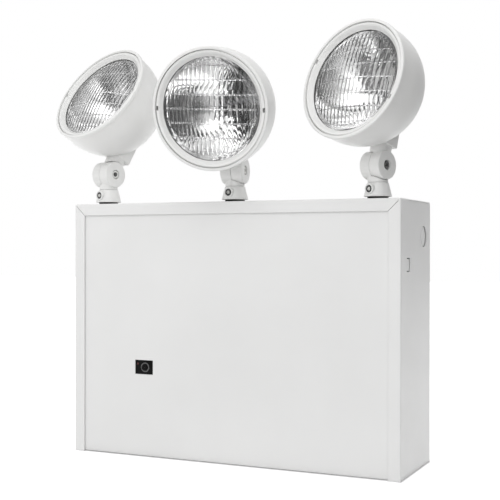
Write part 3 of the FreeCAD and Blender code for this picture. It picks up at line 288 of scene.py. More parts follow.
def dressed(node, material, bevel=0.3, fold=None, cuts=()):
    """A copy of a cabinet node with flat faces merged and edges rounded, as paint rounds sheet edges."""
    mesh = bmesh.new()
    mesh.from_mesh(frame["nodes"][node].data)
    bmesh.ops.scale(mesh, vec=(1 / MM,) * 3, verts=mesh.verts)
    bmesh.ops.remove_doubles(mesh, verts=mesh.verts, dist=CAD_MERGE)
    bmesh.ops.dissolve_limit(mesh, angle_limit=FLAT, verts=mesh.verts, edges=mesh.edges)
    if fold:
        bevel_edges(mesh, [e for e in mesh.edges if all(fold(v.co) for v in e.verts)], FOLD_RADIUS, 4)
    edges = [e for e in mesh.edges if len(e.link_faces) == 2 and e.calc_face_angle() > EDGE]
    bevel_edges(mesh, edges, bevel, 2, clamp=True)
    bmesh.ops.recalc_face_normals(mesh, faces=mesh.faces)
    obj = from_bmesh(mesh, new_object(node))
    if cuts:
        boolean(obj, "DIFFERENCE", *cuts)
    look(obj, node, "cabinet", material)
    weighted = obj.modifiers.new("flat_faces_stay_flat", "WEIGHTED_NORMAL")
    weighted.keep_sharp = True
    apply_modifiers(obj)


# Materials

PATTERN_LOW, PATTERN_HIGH = 0.25, 0.75    # a noise texture seldom leaves this range
METAL_GRAIN = 400


class Nodes:
    """A node material with a Principled shader and short ways to feed it."""

    def __init__(self, name, color, rough, metal=0.0, **sockets):
        self.material = bpy.data.materials.new(name)
        self.material.use_nodes = True
        self.tree = self.material.node_tree
        self.shader = self.tree.nodes["Principled BSDF"]
        sockets.update({"Base Color": (*color, 1), "Roughness": rough, "Metallic": metal})
        for socket, value in sockets.items():
            self.shader.inputs[socket].default_value = value
        self.place = self.node("ShaderNodeTexCoord").outputs["Object"]

    def node(self, kind, **values):
        """A new node with its settings and constant inputs; _ stands for a space in an input's name."""
        made = self.tree.nodes.new(kind)
        for name, value in values.items():
            if hasattr(made, name):
                setattr(made, name, value)
            else:
                made.inputs[name.replace("_", " ")].default_value = value
        return made

    def link(self, source, target):
        self.tree.links.new(source, target)

    def noise(self, scale, detail=2.0, rough=0.5):
        texture = self.node("ShaderNodeTexNoise", Scale=scale, Detail=detail, Roughness=rough)
        self.link(self.place, texture.inputs["Vector"])
        return texture.outputs["Fac"]

    def wave(self, scale, axis, distortion):
        texture = self.node("ShaderNodeTexWave", bands_direction=axis, Scale=scale,
                            Distortion=distortion)
        self.link(self.place, texture.inputs["Vector"])
        return texture.outputs["Fac"]

    def roughness(self, source, low, high):
        """Roughness between two values, by a pattern."""
        ramp = self.node("ShaderNodeMapRange", From_Min=PATTERN_LOW, From_Max=PATTERN_HIGH,
                         To_Min=low, To_Max=high)
        self.link(source, ramp.inputs["Value"])
        self.link(ramp.outputs["Result"], self.shader.inputs["Roughness"])

    def tint(self, source, low, high, start=0.3, stop=0.7):
        """Colour between two tones, by a pattern."""
        ramp = self.node("ShaderNodeValToRGB")
        for element, place, tone in zip(ramp.color_ramp.elements, (start, stop), (low, high)):
            element.position, element.color = place, (*tone, 1)
        self.link(source, ramp.inputs["Fac"])
        self.link(ramp.outputs["Color"], self.shader.inputs["Base Color"])

    def bump(self, source, strength, distance=0.0001):
        bump = self.node("ShaderNodeBump", Strength=strength, Distance=distance)
        self.link(source, bump.inputs["Height"])
        self.link(bump.outputs["Normal"], self.shader.inputs["Normal"])


def grey(level):
    return (level, level, level)


def white_paint():
    m = Nodes("white_powder_coat", (0.80, 0.80, 0.795), 0.36)
    m.tint(m.noise(9, detail=3), (0.785, 0.785, 0.78), (0.815, 0.815, 0.81))
    m.roughness(m.noise(60), 0.33, 0.42)
    m.bump(m.noise(1400), 0.12, distance=0.0002)
    return m.material


def white_moulding():
    m = Nodes("white_moulding", (0.80, 0.80, 0.79), 0.34)
    m.tint(m.noise(25, detail=3), (0.79, 0.79, 0.78), (0.815, 0.815, 0.805))
    m.roughness(m.noise(140), 0.30, 0.40)
    m.bump(m.noise(2600), 0.08)
    return m.material


def metal(name, low, high, rough):
    m = Nodes(name, low, rough, metal=1.0)
    pattern = m.noise(METAL_GRAIN, detail=3, rough=0.6)
    m.tint(pattern, low, high)
    m.roughness(pattern, rough * 0.8, rough * 1.25)
    m.bump(m.noise(METAL_GRAIN * 6), 0.1)
    return m.material


def plastic(name, low, high, rough, scale=300, bump=0.15, shine=0.5):
    m = Nodes(name, low, rough, **{"Specular IOR Level": shine})
    m.tint(m.noise(scale / 6, detail=3), low, high)
    m.roughness(m.noise(scale), rough * 0.85, rough * 1.15)
    m.bump(m.noise(scale * 8), bump)
    return m.material


def banded(name, low, high, rough, metallic, scale, axis, bump):
    """Laminations or turns of wire: fine bands along one axis."""
    m = Nodes(name, low, rough, metal=metallic)
    bands = m.wave(scale, axis, distortion=0.4)
    m.tint(bands, low, high)
    m.roughness(m.noise(200), rough * 0.85, rough * 1.15)
    m.bump(bands, bump, distance=0.0003)
    return m.material


def board_green():
    m = Nodes("board_green", (0.03, 0.16, 0.06), 0.4)
    texture = m.node("ShaderNodeTexVoronoi", Scale=120.0, distance="MANHATTAN", feature="F1")
    m.link(m.place, texture.inputs["Vector"])
    m.tint(texture.outputs["Distance"], (0.05, 0.26, 0.10), (0.02, 0.13, 0.05), 0.2, 0.45)
    m.roughness(m.noise(90), 0.3, 0.5)
    return m.material


def lens_glass():
    m = Nodes("lens_glass", grey(0.985), 0.02, **{"Transmission Weight": 1.0, "IOR": 1.5})
    m.roughness(m.noise(500), 0.0, 0.02)
    return m.material


def silvered():
    m = Nodes("silvered_dish", grey(0.81), 0.06, metal=1.0)
    m.tint(m.noise(40, detail=3), grey(0.78), grey(0.84))
    m.roughness(m.noise(160), 0.03, 0.08)
    return m.material


PAINT = white_paint()
MOULDING = white_moulding()
ZINC = metal("zinc_plate", (0.52, 0.52, 0.50), (0.66, 0.66, 0.64), 0.32)
# Zinc darkened to paint the shade in the recesses of the left and right tilt bolts
SHADED_ZINC = metal("zinc_painted_shade", (0.06, 0.06, 0.06), (0.12, 0.12, 0.118), 0.3)
BRIGHT_ZINC = metal("bright_zinc", (0.70, 0.70, 0.68), (0.82, 0.82, 0.80), 0.4)
# Near-black steel: painted shade for the gaps round the lock screws' heads
RECESS_SHADE_STEEL = metal("dark_steel", (0.06, 0.06, 0.062), (0.14, 0.14, 0.14), 0.3)
RUBBER = plastic("black_rubber", grey(0.010), grey(0.022), 0.7, scale=500, bump=0.3)
BLACK = plastic("black_plastic", grey(0.005), grey(0.009), 0.42, shine=0.08)
GREY_PLASTIC = plastic("grey_plastic", grey(0.09), grey(0.13), 0.4)
PILOT_RED = plastic("pilot_red", (0.07, 0.022, 0.022), (0.10, 0.03, 0.03), 0.15)
GLASS = lens_glass()
SILVER = silvered()
TUNGSTEN = metal("tungsten", (0.28, 0.28, 0.29), (0.40, 0.40, 0.41), 0.4)
BATTERY = plastic("battery_case", (0.03, 0.03, 0.034), (0.045, 0.045, 0.05), 0.5)
BRASS = metal("tinned_brass", (0.60, 0.55, 0.42), (0.72, 0.68, 0.55), 0.3)
CORE = banded("core_laminations", (0.07, 0.07, 0.075), (0.13, 0.13, 0.13), rough=0.45,
              metallic=0.6, scale=600, axis="Y", bump=0.4)
COPPER = banded("copper_winding", (0.34, 0.13, 0.05), (0.52, 0.24, 0.10), rough=0.35,
                metallic=0.8, scale=350, axis="Z", bump=0.5)
BOARD = board_green()
TERMINAL = plastic("terminal_grey", (0.24, 0.25, 0.24), (0.30, 0.31, 0.30), 0.45)
# Left and right tilt bolts get painted shade; the middle one, seen lit, stays plain zinc
BOLT_LOOKS = {"left": SHADED_ZINC, "middle": ZINC, "right": SHADED_ZINC}


# Cabinet. Profiles here and below are points (radius, height) or (radius, height, rounding)

CUT_FROM, CUT_TO = 190.0, 196.0           # cuts right through a side wall, from inside to outside
SEAM_FROM = 192.1                         # the seam doesn't go through
TAB_Y, TAB_Z = (-27.5, -23.0), (208.0, 222.0)
SEAM_Y, SEAM_Z = (-30.0, 60.0), (280.0, 281.0)
KNOCKOUT_RADIUS, KNOCKOUT_Y, KNOCKOUT_Z = 11.1, 28.7, 244.5
CRESCENT = 6.0                            # widest gap beside the pushed-in knockout
BUTTON = [(0, -1.5), (1.6, -1.6), (2.6, -2.4, 0.3), (3.5, -2.4, 0.5),
          (3.5, 2.9), (4.5, 2.9, 0.2), (4.5, 4.1, 0.2), (0, 4.1)]
SWITCH_RING = [(3.9, 0.3), (3.9, -0.5, 0.2), (5.3, -0.5, 0.3), (5.3, 0.3)]
PILOT_TIP, PILOT_DOME = -0.4, arc((0, 0.9), 1.3, -90, 0, 6)
PILOT_BODY = [(1.5, 1.0), (1.5, 8), (0, 8)]
GASKET = [(8.8, 0), (10.75, 0, 0.4), (10.75, 2.5, 0.4), (8.8, 2.5)]
INSERT_BEVEL = 0.25


def wall_cut(name, hand, start, y, z):
    """A box that cuts one side wall, from start outwards."""
    x = sorted((hand * start, hand * CUT_TO))
    return box(name, (x[0], y[0], z[0]), (x[1], y[1], z[1]))


def shell_cuts():
    """The open end of each lanced tab, the seams under the top and the crescent beside the knockout."""
    cuts = []
    for hand in (-1, 1):
        cuts.append(wall_cut("tab_end", hand, CUT_FROM, TAB_Y, TAB_Z))
        cuts.append(wall_cut("top_seam", hand, SEAM_FROM, SEAM_Y, SEAM_Z))
    crescent, slug = (rod("knockout", KNOCKOUT_RADIUS, CUT_FROM, CUT_TO, 64) for _ in range(2))
    moved(slug, shift(0, -CRESCENT, 0) @ ALONG_X)
    boolean(moved(crescent, ALONG_X), "DIFFERENCE", slug)
    cuts.append(moved(crescent, shift(0, KNOCKOUT_Y, KNOCKOUT_Z)))
    return cuts


def at_cover_foot(p):
    return abs(p.y - COVER_FACE) < NEAR and abs(p.z) < NEAR


def cabinet():
    dressed("cabinet_shell", PAINT, cuts=shell_cuts())
    dressed("front_cover", PAINT, fold=at_cover_foot)
    dressed("switch_insert", BLACK, INSERT_BEVEL)
    at_button = shift(BUTTON_X, COVER_FACE, WINDOW[1]) @ ALONG_Y
    button = moved(lathe("button", fillet(BUTTON), 64), at_button)
    look(button, "test_button", "test_button", BLACK)
    ring = moved(lathe("switch_ring", fillet(SWITCH_RING), 64), at_button)
    piece(ring, "switch_ring", "cabinet", None, GREY_PLASTIC)
    pilot = lathe("pilot", [(0, PILOT_TIP)] + PILOT_DOME[1:] + PILOT_BODY, 32)
    moved(pilot, shift(PILOT[0], COVER_FACE, PILOT[1]) @ ALONG_Y)
    look(pilot, "pilot_lamp", "cabinet", PILOT_RED)
    gaskets = [moved(lathe("gasket", fillet(GASKET), 72), shift(HEAD_X[side], PAN_Y, TOP))
               for side in SIDES]
    look(joined(*gaskets), "collar_gaskets", "cabinet", RUBBER)


# Collars and their lock screws

BOSS_Z = 7.6
AT_BOSS = shift(0, 0, BOSS_Z) @ TO_FRONT  # along the lock screw's axis, in its collar
COLLAR = [(0, -15.5), (8.5, -15.5), (8.5, 0), (14.5, 0, 0.4), (11, 14.3, 0.8), (0, 14.3)]
COLLAR_BORE, BORE_REACH = 6.1, 20.0
BOSS = [(0, 5), (5.5, 5), (5.5, 14.8, 0.7), (0, 14.8)]
BOSS_HOLE = [(0, 0), (2.1, 0), (2.1, 13.2), (3.9, 13.2), (3.9, 14.6), (4.2, 15), (4.2, 16), (0, 16)]
LOCK_SCREW = [(0, 4.8), (1.9, 4.8), (1.9, 14.5, 0.3), (1.3, 15.2, 0.6), (0, 15.2)]
LOCK_SLOT = ((-0.5, -5, 14.2), (0.5, 5, 17))
SLOT_TURN = 35
LOCK_WASHER = [(1.95, 13.2), (3.7, 13.2), (3.7, 14.2, 0.3), (1.95, 14.2)]


def collar(side):
    """Tapered collar with the lock screw's boss."""
    taper = lathe("taper", fillet(COLLAR))
    boolean(taper, "UNION", moved(lathe("boss", fillet(BOSS), 64), AT_BOSS))
    bore = rod("bore", COLLAR_BORE, -BORE_REACH, BORE_REACH)
    boolean(taper, "DIFFERENCE", bore, moved(lathe("hole", BOSS_HOLE, 64), AT_BOSS))
    moved(taper, on_collar(side))
    look(taper, f"collar_{side}", "cabinet", MOULDING)


def lock_screws():
    """Bright slotted heads in the collars' bosses, each on a near-black ring that paints the shade in the gap
    round the head.
    """
    screws, washers = [], []
    for side in SIDES:
        at_boss = on_collar(side) @ AT_BOSS
        screw = lathe("lock_screw", fillet(LOCK_SCREW), 48)
        boolean(screw, "DIFFERENCE", box("slot", *LOCK_SLOT))
        screws.append(moved(screw, at_boss @ turn("Z", SLOT_TURN)))
        washers.append(moved(lathe("lock_washer", fillet(LOCK_WASHER), 48), at_boss))
    # The rings' near-black colour is painted shade in the counterbores
    piece(joined(*washers), "lock_screw_shade_washers", "cabinet", None, RECESS_SHADE_STEEL)
    look(joined(*screws), "lock_screws", "cabinet", BRIGHT_ZINC)


# Swivel knuckles

HALF_DISC = [(2.6, 0.2), (14.75, 0.2, 0.25), (14.75, 12.3, 1.0),    # from the inner face outwards
             (5.2, 12.3, 0.35), (5.2, 7.3), (2.6, 7.3)]             # with the bolt's recess and hole
ROOM_RADIUS, ROOM_GAP, ROOM_REACH = 15.55, 0.2, 26.0
LOWER_NECK = [(0, -17.4), (10.5, -17.4, 0.5), (10.5, -6), (0, -6)]
LOWER_STUB = [(3, -47.4), (6, -47.4, 0.6), (6, -27.1), (4.5, -27.1),
              (4.5, -21.1), (6, -21.1), (6, -16.6), (3, -16.6)]
UPPER_NECK_RADIUS, UPPER_NECK_FROM, UPPER_NECK_TO = 11.0, 6.0, 23.5
SADDLE, SADDLE_BEVEL = ((-11.5, -11, 21), (11.5, 12, 48.5)), 1.0
BOLT = [(0, -12.1), (2.5, -12.1, 0.4), (2.5, 7.3), (4.7, 7.3, 0.2),
        (4.7, 10.4, 0.6), (3.4, 11.7, 1.2), (0, 11.7)]
CROSS_ARM, CROSS_TURNS = ((-2.2, -0.5, 10.2), (2.2, 0.5, 13)), (45, 135)


def half_disc(hand):
    """One half of a knuckle, facing to hand."""
    return moved(lathe("disc", fillet(HALF_DISC)), turn("Y", 90 * hand))


def swing_room(hand):
    """Room for the other half's disc, on the side away from hand."""
    return moved(rod("room", ROOM_RADIUS, -ROOM_GAP, ROOM_REACH), turn("Y", -90 * hand))


def knuckle_lower(side):
    """The collar's half of the knuckle, with its neck and the stub that turns in the collar."""
    hand = -HAND[side]
    neck = lathe("neck", fillet(LOWER_NECK))
    boolean(neck, "DIFFERENCE", swing_room(hand))
    boolean(neck, "UNION", half_disc(hand), lathe("stub", fillet(LOWER_STUB), 64))
    moved(neck, on_pan(side))
    look(neck, f"knuckle_lower_{side}", f"pan_{side}", MOULDING)


def knuckle_upper(side):
    """The head's half of the knuckle, with its neck and the saddle under the bowl, as one moulding."""
    hand = HAND[side]
    neck = rod("upper_neck", UPPER_NECK_RADIUS, UPPER_NECK_FROM, UPPER_NECK_TO)
    boolean(neck, "UNION", box("saddle", *SADDLE, SADDLE_BEVEL))
    seat = arc((0, 0), SEAT_RADIUS, -90, 90, 64)[1:-1]
    seat = lathe("seat", [(0, -SEAT_RADIUS)] + seat + [(0, SEAT_RADIUS)], 128)
    moved(seat, shift(0, BOWL_CENTRE - RIM_AHEAD, HEAD_AXIS))
    boolean(neck, "DIFFERENCE", swing_room(hand), seat)
    boolean(neck, "UNION", half_disc(hand))
    moved(neck, on_head(side))
    look(neck, f"knuckle_upper_{side}", f"head_{side}", MOULDING)


def tilt_bolt(side):
    """Cross-recessed pan head in the head's half of the knuckle."""
    bolt = lathe("bolt", fillet(BOLT), 48)
    for angle in CROSS_TURNS:
        boolean(bolt, "DIFFERENCE", moved(box("arm", *CROSS_ARM), turn("Z", angle)))
    moved(bolt, on_head(side) @ turn("Y", 90 * HAND[side]))
    look(bolt, f"tilt_bolt_{side}", f"head_{side}", BOLT_LOOKS[side])


# Lamp heads: bowl and bezel

BOWL_RADIUS, HOLLOW_RADIUS, SEAT_RADIUS = 62.5, 60.0, 62.6
BOWL_CENTRE = 17.5                        # of the round back, behind the rim
BOWL_RIM = [(0, 0), (63.4, 0, 1.4), (63.4, 3.5, 0.2), (BOWL_RADIUS, 4.4, 0.2)]
BOWL_MOUTH = [(0, -1), (60.4, -1), (60.4, 10.7), (55.1, 10.7), (55.1, 13.7)]
BOWL_CRISP = 28
BEZEL = [(60.1, 5.7), (60.1, 2.4, 0.2), (59.4, 2.4), (59.4, 1.2, 0.5), (58.6, 0.6, 0.5), (56.8, 1.3, 0.3),
         (56.6, 1.7), (56.3, 1.7, 0.2), (53.6, 4.9, 0.2), (53.3, 4.9), (53.3, 5.7)]
NOTCHES, NOTCH_DEPTH, NOTCH_HALF = (-60.1, 57.1), 3.0, 2.25     # pry notches: where in x, and their size
NOTCH_Z = (-1.0, 7.0)


def round_backed(name, mouth, radius, steps):
    """A solid about the lamp's axis, with a mouth profile and a round back."""
    front = fillet(mouth + [(radius, BOWL_CENTRE)])
    back = arc((0, BOWL_CENTRE), radius, 0, 90, steps)
    return lathe(name, front + back[1:-1] + [(0, BOWL_CENTRE + radius)], 128)


def head_shell(side):
    """Spun bowl with a bead at the rim."""
    bowl = round_backed("bowl", BOWL_RIM, BOWL_RADIUS, 32)
    boolean(bowl, "DIFFERENCE", round_backed("hollow", BOWL_MOUTH, HOLLOW_RADIUS, 28))
    moved(bowl, in_lamp(side))
    look(bowl, f"head_shell_{side}", f"head_{side}", MOULDING, BOWL_CRISP)


def bezel(side):
    """Dished ring down to the lens, with a fine moulded line round it and two pry notches."""
    ring = lathe("bezel", fillet(BEZEL, 4), 192)
    for start in NOTCHES:
        low, high = (start, -NOTCH_HALF, NOTCH_Z[0]), (start + NOTCH_DEPTH, NOTCH_HALF, NOTCH_Z[1])
        boolean(ring, "DIFFERENCE", box("notch", low, high))
    moved(ring, in_lamp(side, BEZEL_TURN[side]))
    look(ring, f"bezel_{side}", f"head_{side}", MOULDING)


# Lamp heads: pressed lens

LENS_FRONT, LENS_RISE, LENS_EDGE = 5.8, 7.0, 53.2   # the dome's edge behind the rim, its rise and its radius
DOME = (LENS_EDGE ** 2 + LENS_RISE ** 2) / (2 * LENS_RISE)    # radius of the dome's sphere
ROW_PITCH = 14.7
ROWS = [round(ROW_PITCH * k, 1) for k in range(-4, 5)]    # row lines of the lens, downwards
ROW_MARGIN, ROW_POINTS = 1.5, 12          # the plain part of a row: off its lines, and points down it
GRID_MARGIN = 1.0                         # the grid goes this far beyond the outer lines
FLUTE, FLUTE_STEPS, FLUTES = 5.0, 8, 12   # width, points across, and number each way from the middle
BLOCKS = (-15.0, 20.0)                    # where the left, middle and right blocks of flutes part
FLUTE_DEPTHS = (0.55, 0.4, 0.5)           # by block
SLOPES = ((0.3, -0.4, 0.5, -0.6, 0.6, -0.5, 0.5, 0.3),        # rise of the prism over a row, by block and row
          (0.2, 0.3, -0.3, 0.4, -0.2, 0.3, -0.5, 0.3),
          (-0.5, 0.6, -0.8, 0.8, -0.8, 0.7, -0.6, 0.3))
BEAD, BEAD_HEIGHT = 0.8, 0.6              # half width and height of the bead between two rows
BEAD_STEPS = (0.1, 0.4, 0.7, 1.0)
BORDER, BORDER_STEP = 49.5, 1.0           # radius of the smooth border, and how fast the flutes end there
THICKNESS = 1.8                           # glass under the flutes
EDGE_BACK, FLANGE_BACK = 1.7, 2.5         # back of the glass at the edge and at the flange, behind LENS_FRONT
FLANGE = LENS_EDGE + 1                    # radius where the flange begins
BARREL_Z = (-10, 20)                      # reach of the cut to the lamp's round
LENS_CRISP = 20


def grid_solid(name, gx, gy, front, back):
    """A closed solid between two height fields over one grid."""
    rows, columns = gx.shape
    count = rows * columns
    verts = np.concatenate([np.stack([gx, gy, z], -1).reshape(-1, 3) for z in (front, back)])
    faces = []
    for i in range(rows - 1):
        for j in range(columns - 1):
            a = i * columns + j
            quad = (a, a + 1, a + columns + 1, a + columns)
            faces.append(quad)
            faces.append(tuple(count + v for v in reversed(quad)))
    index = np.arange(count).reshape(rows, columns)
    edge = np.concatenate([index[0], index[1:, -1], index[-1, -2::-1], index[-2:0:-1, 0]]).tolist()
    for a, b in zip(edge, edge[1:] + edge[:1]):
        faces.append((b, a, count + a, count + b))
    return tidy(new_object(name, verts, faces))


def lens_grid():
    """Points across the flutes and down the rows, close together at the beads."""
    x = np.arange(-FLUTES * FLUTE, FLUTES * FLUTE + 1e-6, FLUTE / FLUTE_STEPS)
    y = [ROWS[0] - GRID_MARGIN]
    for low, high in zip(ROWS, ROWS[1:]):
        y += [low + BEAD * k for k in BEAD_STEPS]
        y += list(np.linspace(low + ROW_MARGIN, high - ROW_MARGIN, ROW_POINTS))
        y += [high - BEAD * k for k in reversed(BEAD_STEPS)]
    return np.meshgrid(x, np.array(y + [ROWS[-1] + GRID_MARGIN]))


def lens_solid():
    """A smooth dome outside; inside, rows and blocks of flutes, each with its own prism slope."""
    gx, gy = lens_grid()
    radius = np.hypot(gx, gy)
    r2 = np.minimum(gx ** 2 + gy ** 2, LENS_EDGE ** 2)
    front = LENS_FRONT - LENS_RISE + DOME - np.sqrt(DOME ** 2 - r2)
    block = np.searchsorted(BLOCKS, gx, side="right")
    row = np.clip(np.searchsorted(ROWS, gy, side="right") - 1, 0, len(ROWS) - 2)
    lows, highs = np.array(ROWS)[row], np.array(ROWS)[row + 1]
    down = (gy - lows) / (highs - lows)
    slope = np.array(SLOPES)[block, row]
    prism = np.where(slope > 0, slope * down, -slope * (1 - down))
    phase = np.mod(gx / FLUTE, 1.0) - 0.5
    flute = np.array(FLUTE_DEPTHS)[block] * (1 - (2 * phase) ** 2)
    off = np.minimum(gy - lows, highs - gy) / BEAD
    bead = BEAD_HEIGHT * np.maximum(1 - off ** 2, 0)
    pressed = np.clip((BORDER - radius) / BORDER_STEP + 0.5, 0, 1)
    back = np.minimum(front + THICKNESS + pressed * (flute + prism + bead), LENS_FRONT + EDGE_BACK)
    back = np.where(radius > FLANGE, LENS_FRONT + FLANGE_BACK, back)
    barrel = rod("barrel", LAMP_RADIUS, *BARREL_Z, 160)
    return boolean(grid_solid("lens", gx, gy, front, back), "INTERSECT", barrel)


def lens(side, master):
    obj = new_object("lens")
    obj.data = master.data.copy()
    moved(obj, in_lamp(side, LENS_TURN[side]))
    look(obj, f"lens_{side}", f"head_{side}", GLASS, LENS_CRISP)


# Lamp heads: reflector and filament

DISH_THROAT, DISH_MOUTH, DISH_CURVE = (9.0, 51.4), (53.0, 8.4), 89.0          # inside
BACK_THROAT, BACK_MOUTH, BACK_CURVE = (10.8, 53.2), (54.8, 10.6), 90.8        # outside
COIL_TURNS, COIL_STEPS = 9, 12
COIL_HALF, COIL_RADIUS, COIL_Z = 4.0, 0.75, 36.4
WIRE_RADIUS = 0.16
POST = [(0, 35.8), (0.8, 35.8, 0.3), (0.8, 51.4), (0, 51.4)]


def reflector(side):
    """Silvered dish with a flat throat, and a rim behind the lens."""
    inside = arc_between(DISH_THROAT, DISH_MOUTH, DISH_CURVE, 1, 32)
    rim = [(LAMP_RADIUS, DISH_MOUTH[1]), (LAMP_RADIUS, BACK_MOUTH[1])]
    outside = arc_between(BACK_MOUTH, BACK_THROAT, BACK_CURVE, -1, 32)
    profile = [(0, DISH_THROAT[1])] + inside + rim + outside + [(0, BACK_THROAT[1])]
    dish = moved(lathe("dish", profile, 128), in_lamp(side))
    look(dish, f"reflector_{side}", f"head_{side}", SILVER)


def coil():
    """The filament's wire, wound along x."""
    curve = bpy.data.curves.new("coil", "CURVE")
    curve.dimensions, curve.use_fill_caps = "3D", True
    curve.bevel_depth, curve.bevel_resolution = WIRE_RADIUS, 2
    count = COIL_TURNS * COIL_STEPS
    spline = curve.splines.new("POLY")
    spline.points.add(count)
    for k, point in enumerate(spline.points):
        a = 2 * math.pi * k / COIL_STEPS
        along = -COIL_HALF + 2 * COIL_HALF * k / count
        point.co = (along, COIL_RADIUS * math.cos(a), COIL_Z + COIL_RADIUS * math.sin(a), 1)
    holder = bpy.data.objects.new("coil", curve)
    scene.collection.objects.link(holder)
    wire = new_object("filament")
    wire.data = evaluated_mesh(holder)
    bpy.data.objects.remove(holder)
    return wire


def filament(side):
    """Coiled wire between two posts."""
    posts = [moved(lathe("post", fillet(POST), 24), shift(x, 0, 0)) for x in (-COIL_HALF, COIL_HALF)]
    wire = moved(joined(coil(), *posts), in_lamp(side))
    look(wire, f"filament_{side}", f"head_{side}", TUNGSTEN)


def heads():
    master = lens_solid()
    for side in SIDES:
        collar(side)
        knuckle_lower(side)
        tilt_bolt(side)
        head_shell(side)
        knuckle_upper(side)
        bezel(side)
        lens(side, master)
        reflector(side)
        filament(side)
    bpy.data.objects.remove(master)


# Pieces that stay as their CAD solids

KEPT = {
    "cover_screws": ZINC, "collar_locknuts": ZINC, "test_switch": BLACK, "battery_tray": ZINC,
    "battery": BATTERY, "battery_terminals": BRASS, "battery_strap": ZINC, "transformer_core": CORE,
    "transformer_coil": COPPER, "transformer_brackets": ZINC, "transformer_screws": ZINC,
    "charger_board": BOARD, "board_standoffs": ZINC, "board_screws": ZINC, "transfer_relay": BLACK,
    "terminal_block": TERMINAL,
}
KEPT_HEADS = {"tilt_nut": BRIGHT_ZINC, "lamp_terminals": ZINC, "saddle_screw": ZINC}


def kept_solids():
    looks = dict(KEPT)
    for side in SIDES:
        looks.update({f"{node}_{side}": material for node, material in KEPT_HEADS.items()})
    for node, material in looks.items():
        mesh = frame["nodes"][node].data
        mesh.materials.clear()
        mesh.materials.append(material)


# Stage, in metres: soft light from all round, screens that gloss and glass see, and two dark flags

def level(z, *points):
    """Corners of a level sheet over four points."""
    return [(x, y, z) for x, y in points]


def upright(a, b, low, high):
    """Corners of an upright sheet between two points."""
    return [(*a, low), (*b, low), (*b, high), (*a, high)]


FLOOR, FELT = -0.0004, -0.0002            # heights of the floor and of the felt under the cabinet's foot
FLOOR_REACH, FLOOR_WHITE, FLOOR_GLOW = 6, 0.8, 0.74
LIGHTER_SIDE = (0.75, 0.65, 0.1)
AMBIENT = (0.74, 1.36)                    # world light from the side away from that, and from it
LEFT_END, LEFT_FRONT, FRONT_END = (-1.4, -0.75), (-0.73, -1.47), (0.30, -1.66)
NEAR_FRONT, RIGHT_FRONT, RIGHT_END = (0.68, -1.5), (1.35, -1.05), (1.6, 0.1)
FOOT_LEFT, FOOT_RIGHT = (-0.25, -0.3), (0.35, -0.25)
SCREENS = {                               # tone and corners
    "screen_left": (0.6, upright(LEFT_END, LEFT_FRONT, 0, 1.15)),
    "screen_front": (0.03, upright(LEFT_FRONT, FRONT_END, 0, 1.15)),
    "screen_right": (0.03, upright(RIGHT_FRONT, RIGHT_END, 0, 1.4)),
    "felt_left": (0.6, level(0, (-1.0, -0.15), LEFT_END, LEFT_FRONT, FOOT_LEFT)),
    "felt_front": (0.03, level(0, FOOT_LEFT, LEFT_FRONT, FRONT_END, (0.08, -0.3))),
    "felt_right": (0.03, level(0, FOOT_RIGHT, RIGHT_FRONT, RIGHT_END, (0.6, 0.1))),
    "screen_near": (0.65, upright(NEAR_FRONT, RIGHT_FRONT, 0, 0.5)),
    "felt_near": (0.65, level(0, (0.13, -0.3), NEAR_FRONT, RIGHT_FRONT, FOOT_RIGHT)),
    "felt_foot": (0.02, level(FELT, (-0.195, -0.0565), (0.195, -0.0565), (0.195, 0.058), (-0.195, 0.058))),
}
SHADING = ("screen_right", "felt_foot")   # screens that also darken the paint that faces them
FLAGS = {                                 # these shade the right end and the heads' upper rims
    "flag_right": upright((0.42, -0.25), (0.42, 0.25), 0.12, 0.66),
    "flag_top": level(0.62, (-0.5, -0.02), (0.06, -0.02), (0.06, 0.4), (-0.5, 0.4)),
}
FLAG_TONE = (0.01, 0.02)
CLOTH_ROUGH, CLOTH_SPREAD = 0.9, (0.9, 1.1)         # the weave's tones, about a screen's own
LIGHTS = {                                # place, target, size and power
    "key": ((0.5, -1.5, 2.0), (0, 0, 0.25), (1.4, 1.4), 9),
    "front_fill": ((0.42, -1.5, 0.45), (0, 0, 0.38), (0.45, 0.85), 2),
}
CAMERA_PLACE, CAMERA_TURN = (0.4798, -1.0305, 0.2305), (89.93, -0.06, 24.85)    # fitted to the photo
SENSOR, FOCAL_LENGTH, SHIFT_Y = 36, 73.16, 0.00134


def calculated(tree, kind, operation, *values):
    """A math node fed with constants or other nodes' outputs."""
    made = tree.nodes.new(kind)
    made.operation = operation
    for socket, value in zip(made.inputs, values):
        if isinstance(value, bpy.types.NodeSocket):
            tree.links.new(value, socket)
        else:
            socket.default_value = value
    return made


def seen_directly(tree):
    """1 for rays from the camera, from gloss and through glass."""
    rays = tree.nodes.new("ShaderNodeLightPath").outputs
    first = calculated(tree, "ShaderNodeMath", "MAXIMUM", rays["Is Camera Ray"], rays["Is Glossy Ray"])
    both = calculated(tree, "ShaderNodeMath", "MAXIMUM", first.outputs[0], rays["Is Transmission Ray"])
    return both.outputs[0]


def white_floor():
    """A plain surface that looks white to the camera and in reflections, and keeps the shadows on it."""
    material = bpy.data.materials.new("floor_white")
    material.use_nodes = True
    tree = material.node_tree
    tree.nodes.clear()
    diffuse = tree.nodes.new("ShaderNodeBsdfDiffuse")
    diffuse.inputs["Color"].default_value = (*grey(FLOOR_WHITE), 1)
    emission = tree.nodes.new("ShaderNodeEmission")
    glow = calculated(tree, "ShaderNodeMath", "MULTIPLY", seen_directly(tree), FLOOR_GLOW)
    tree.links.new(glow.outputs[0], emission.inputs["Strength"])
    add = tree.nodes.new("ShaderNodeAddShader")
    tree.links.new(diffuse.outputs[0], add.inputs[0])
    tree.links.new(emission.outputs[0], add.inputs[1])
    output = tree.nodes.new("ShaderNodeOutputMaterial")
    tree.links.new(add.outputs[0], output.inputs["Surface"])
    return material


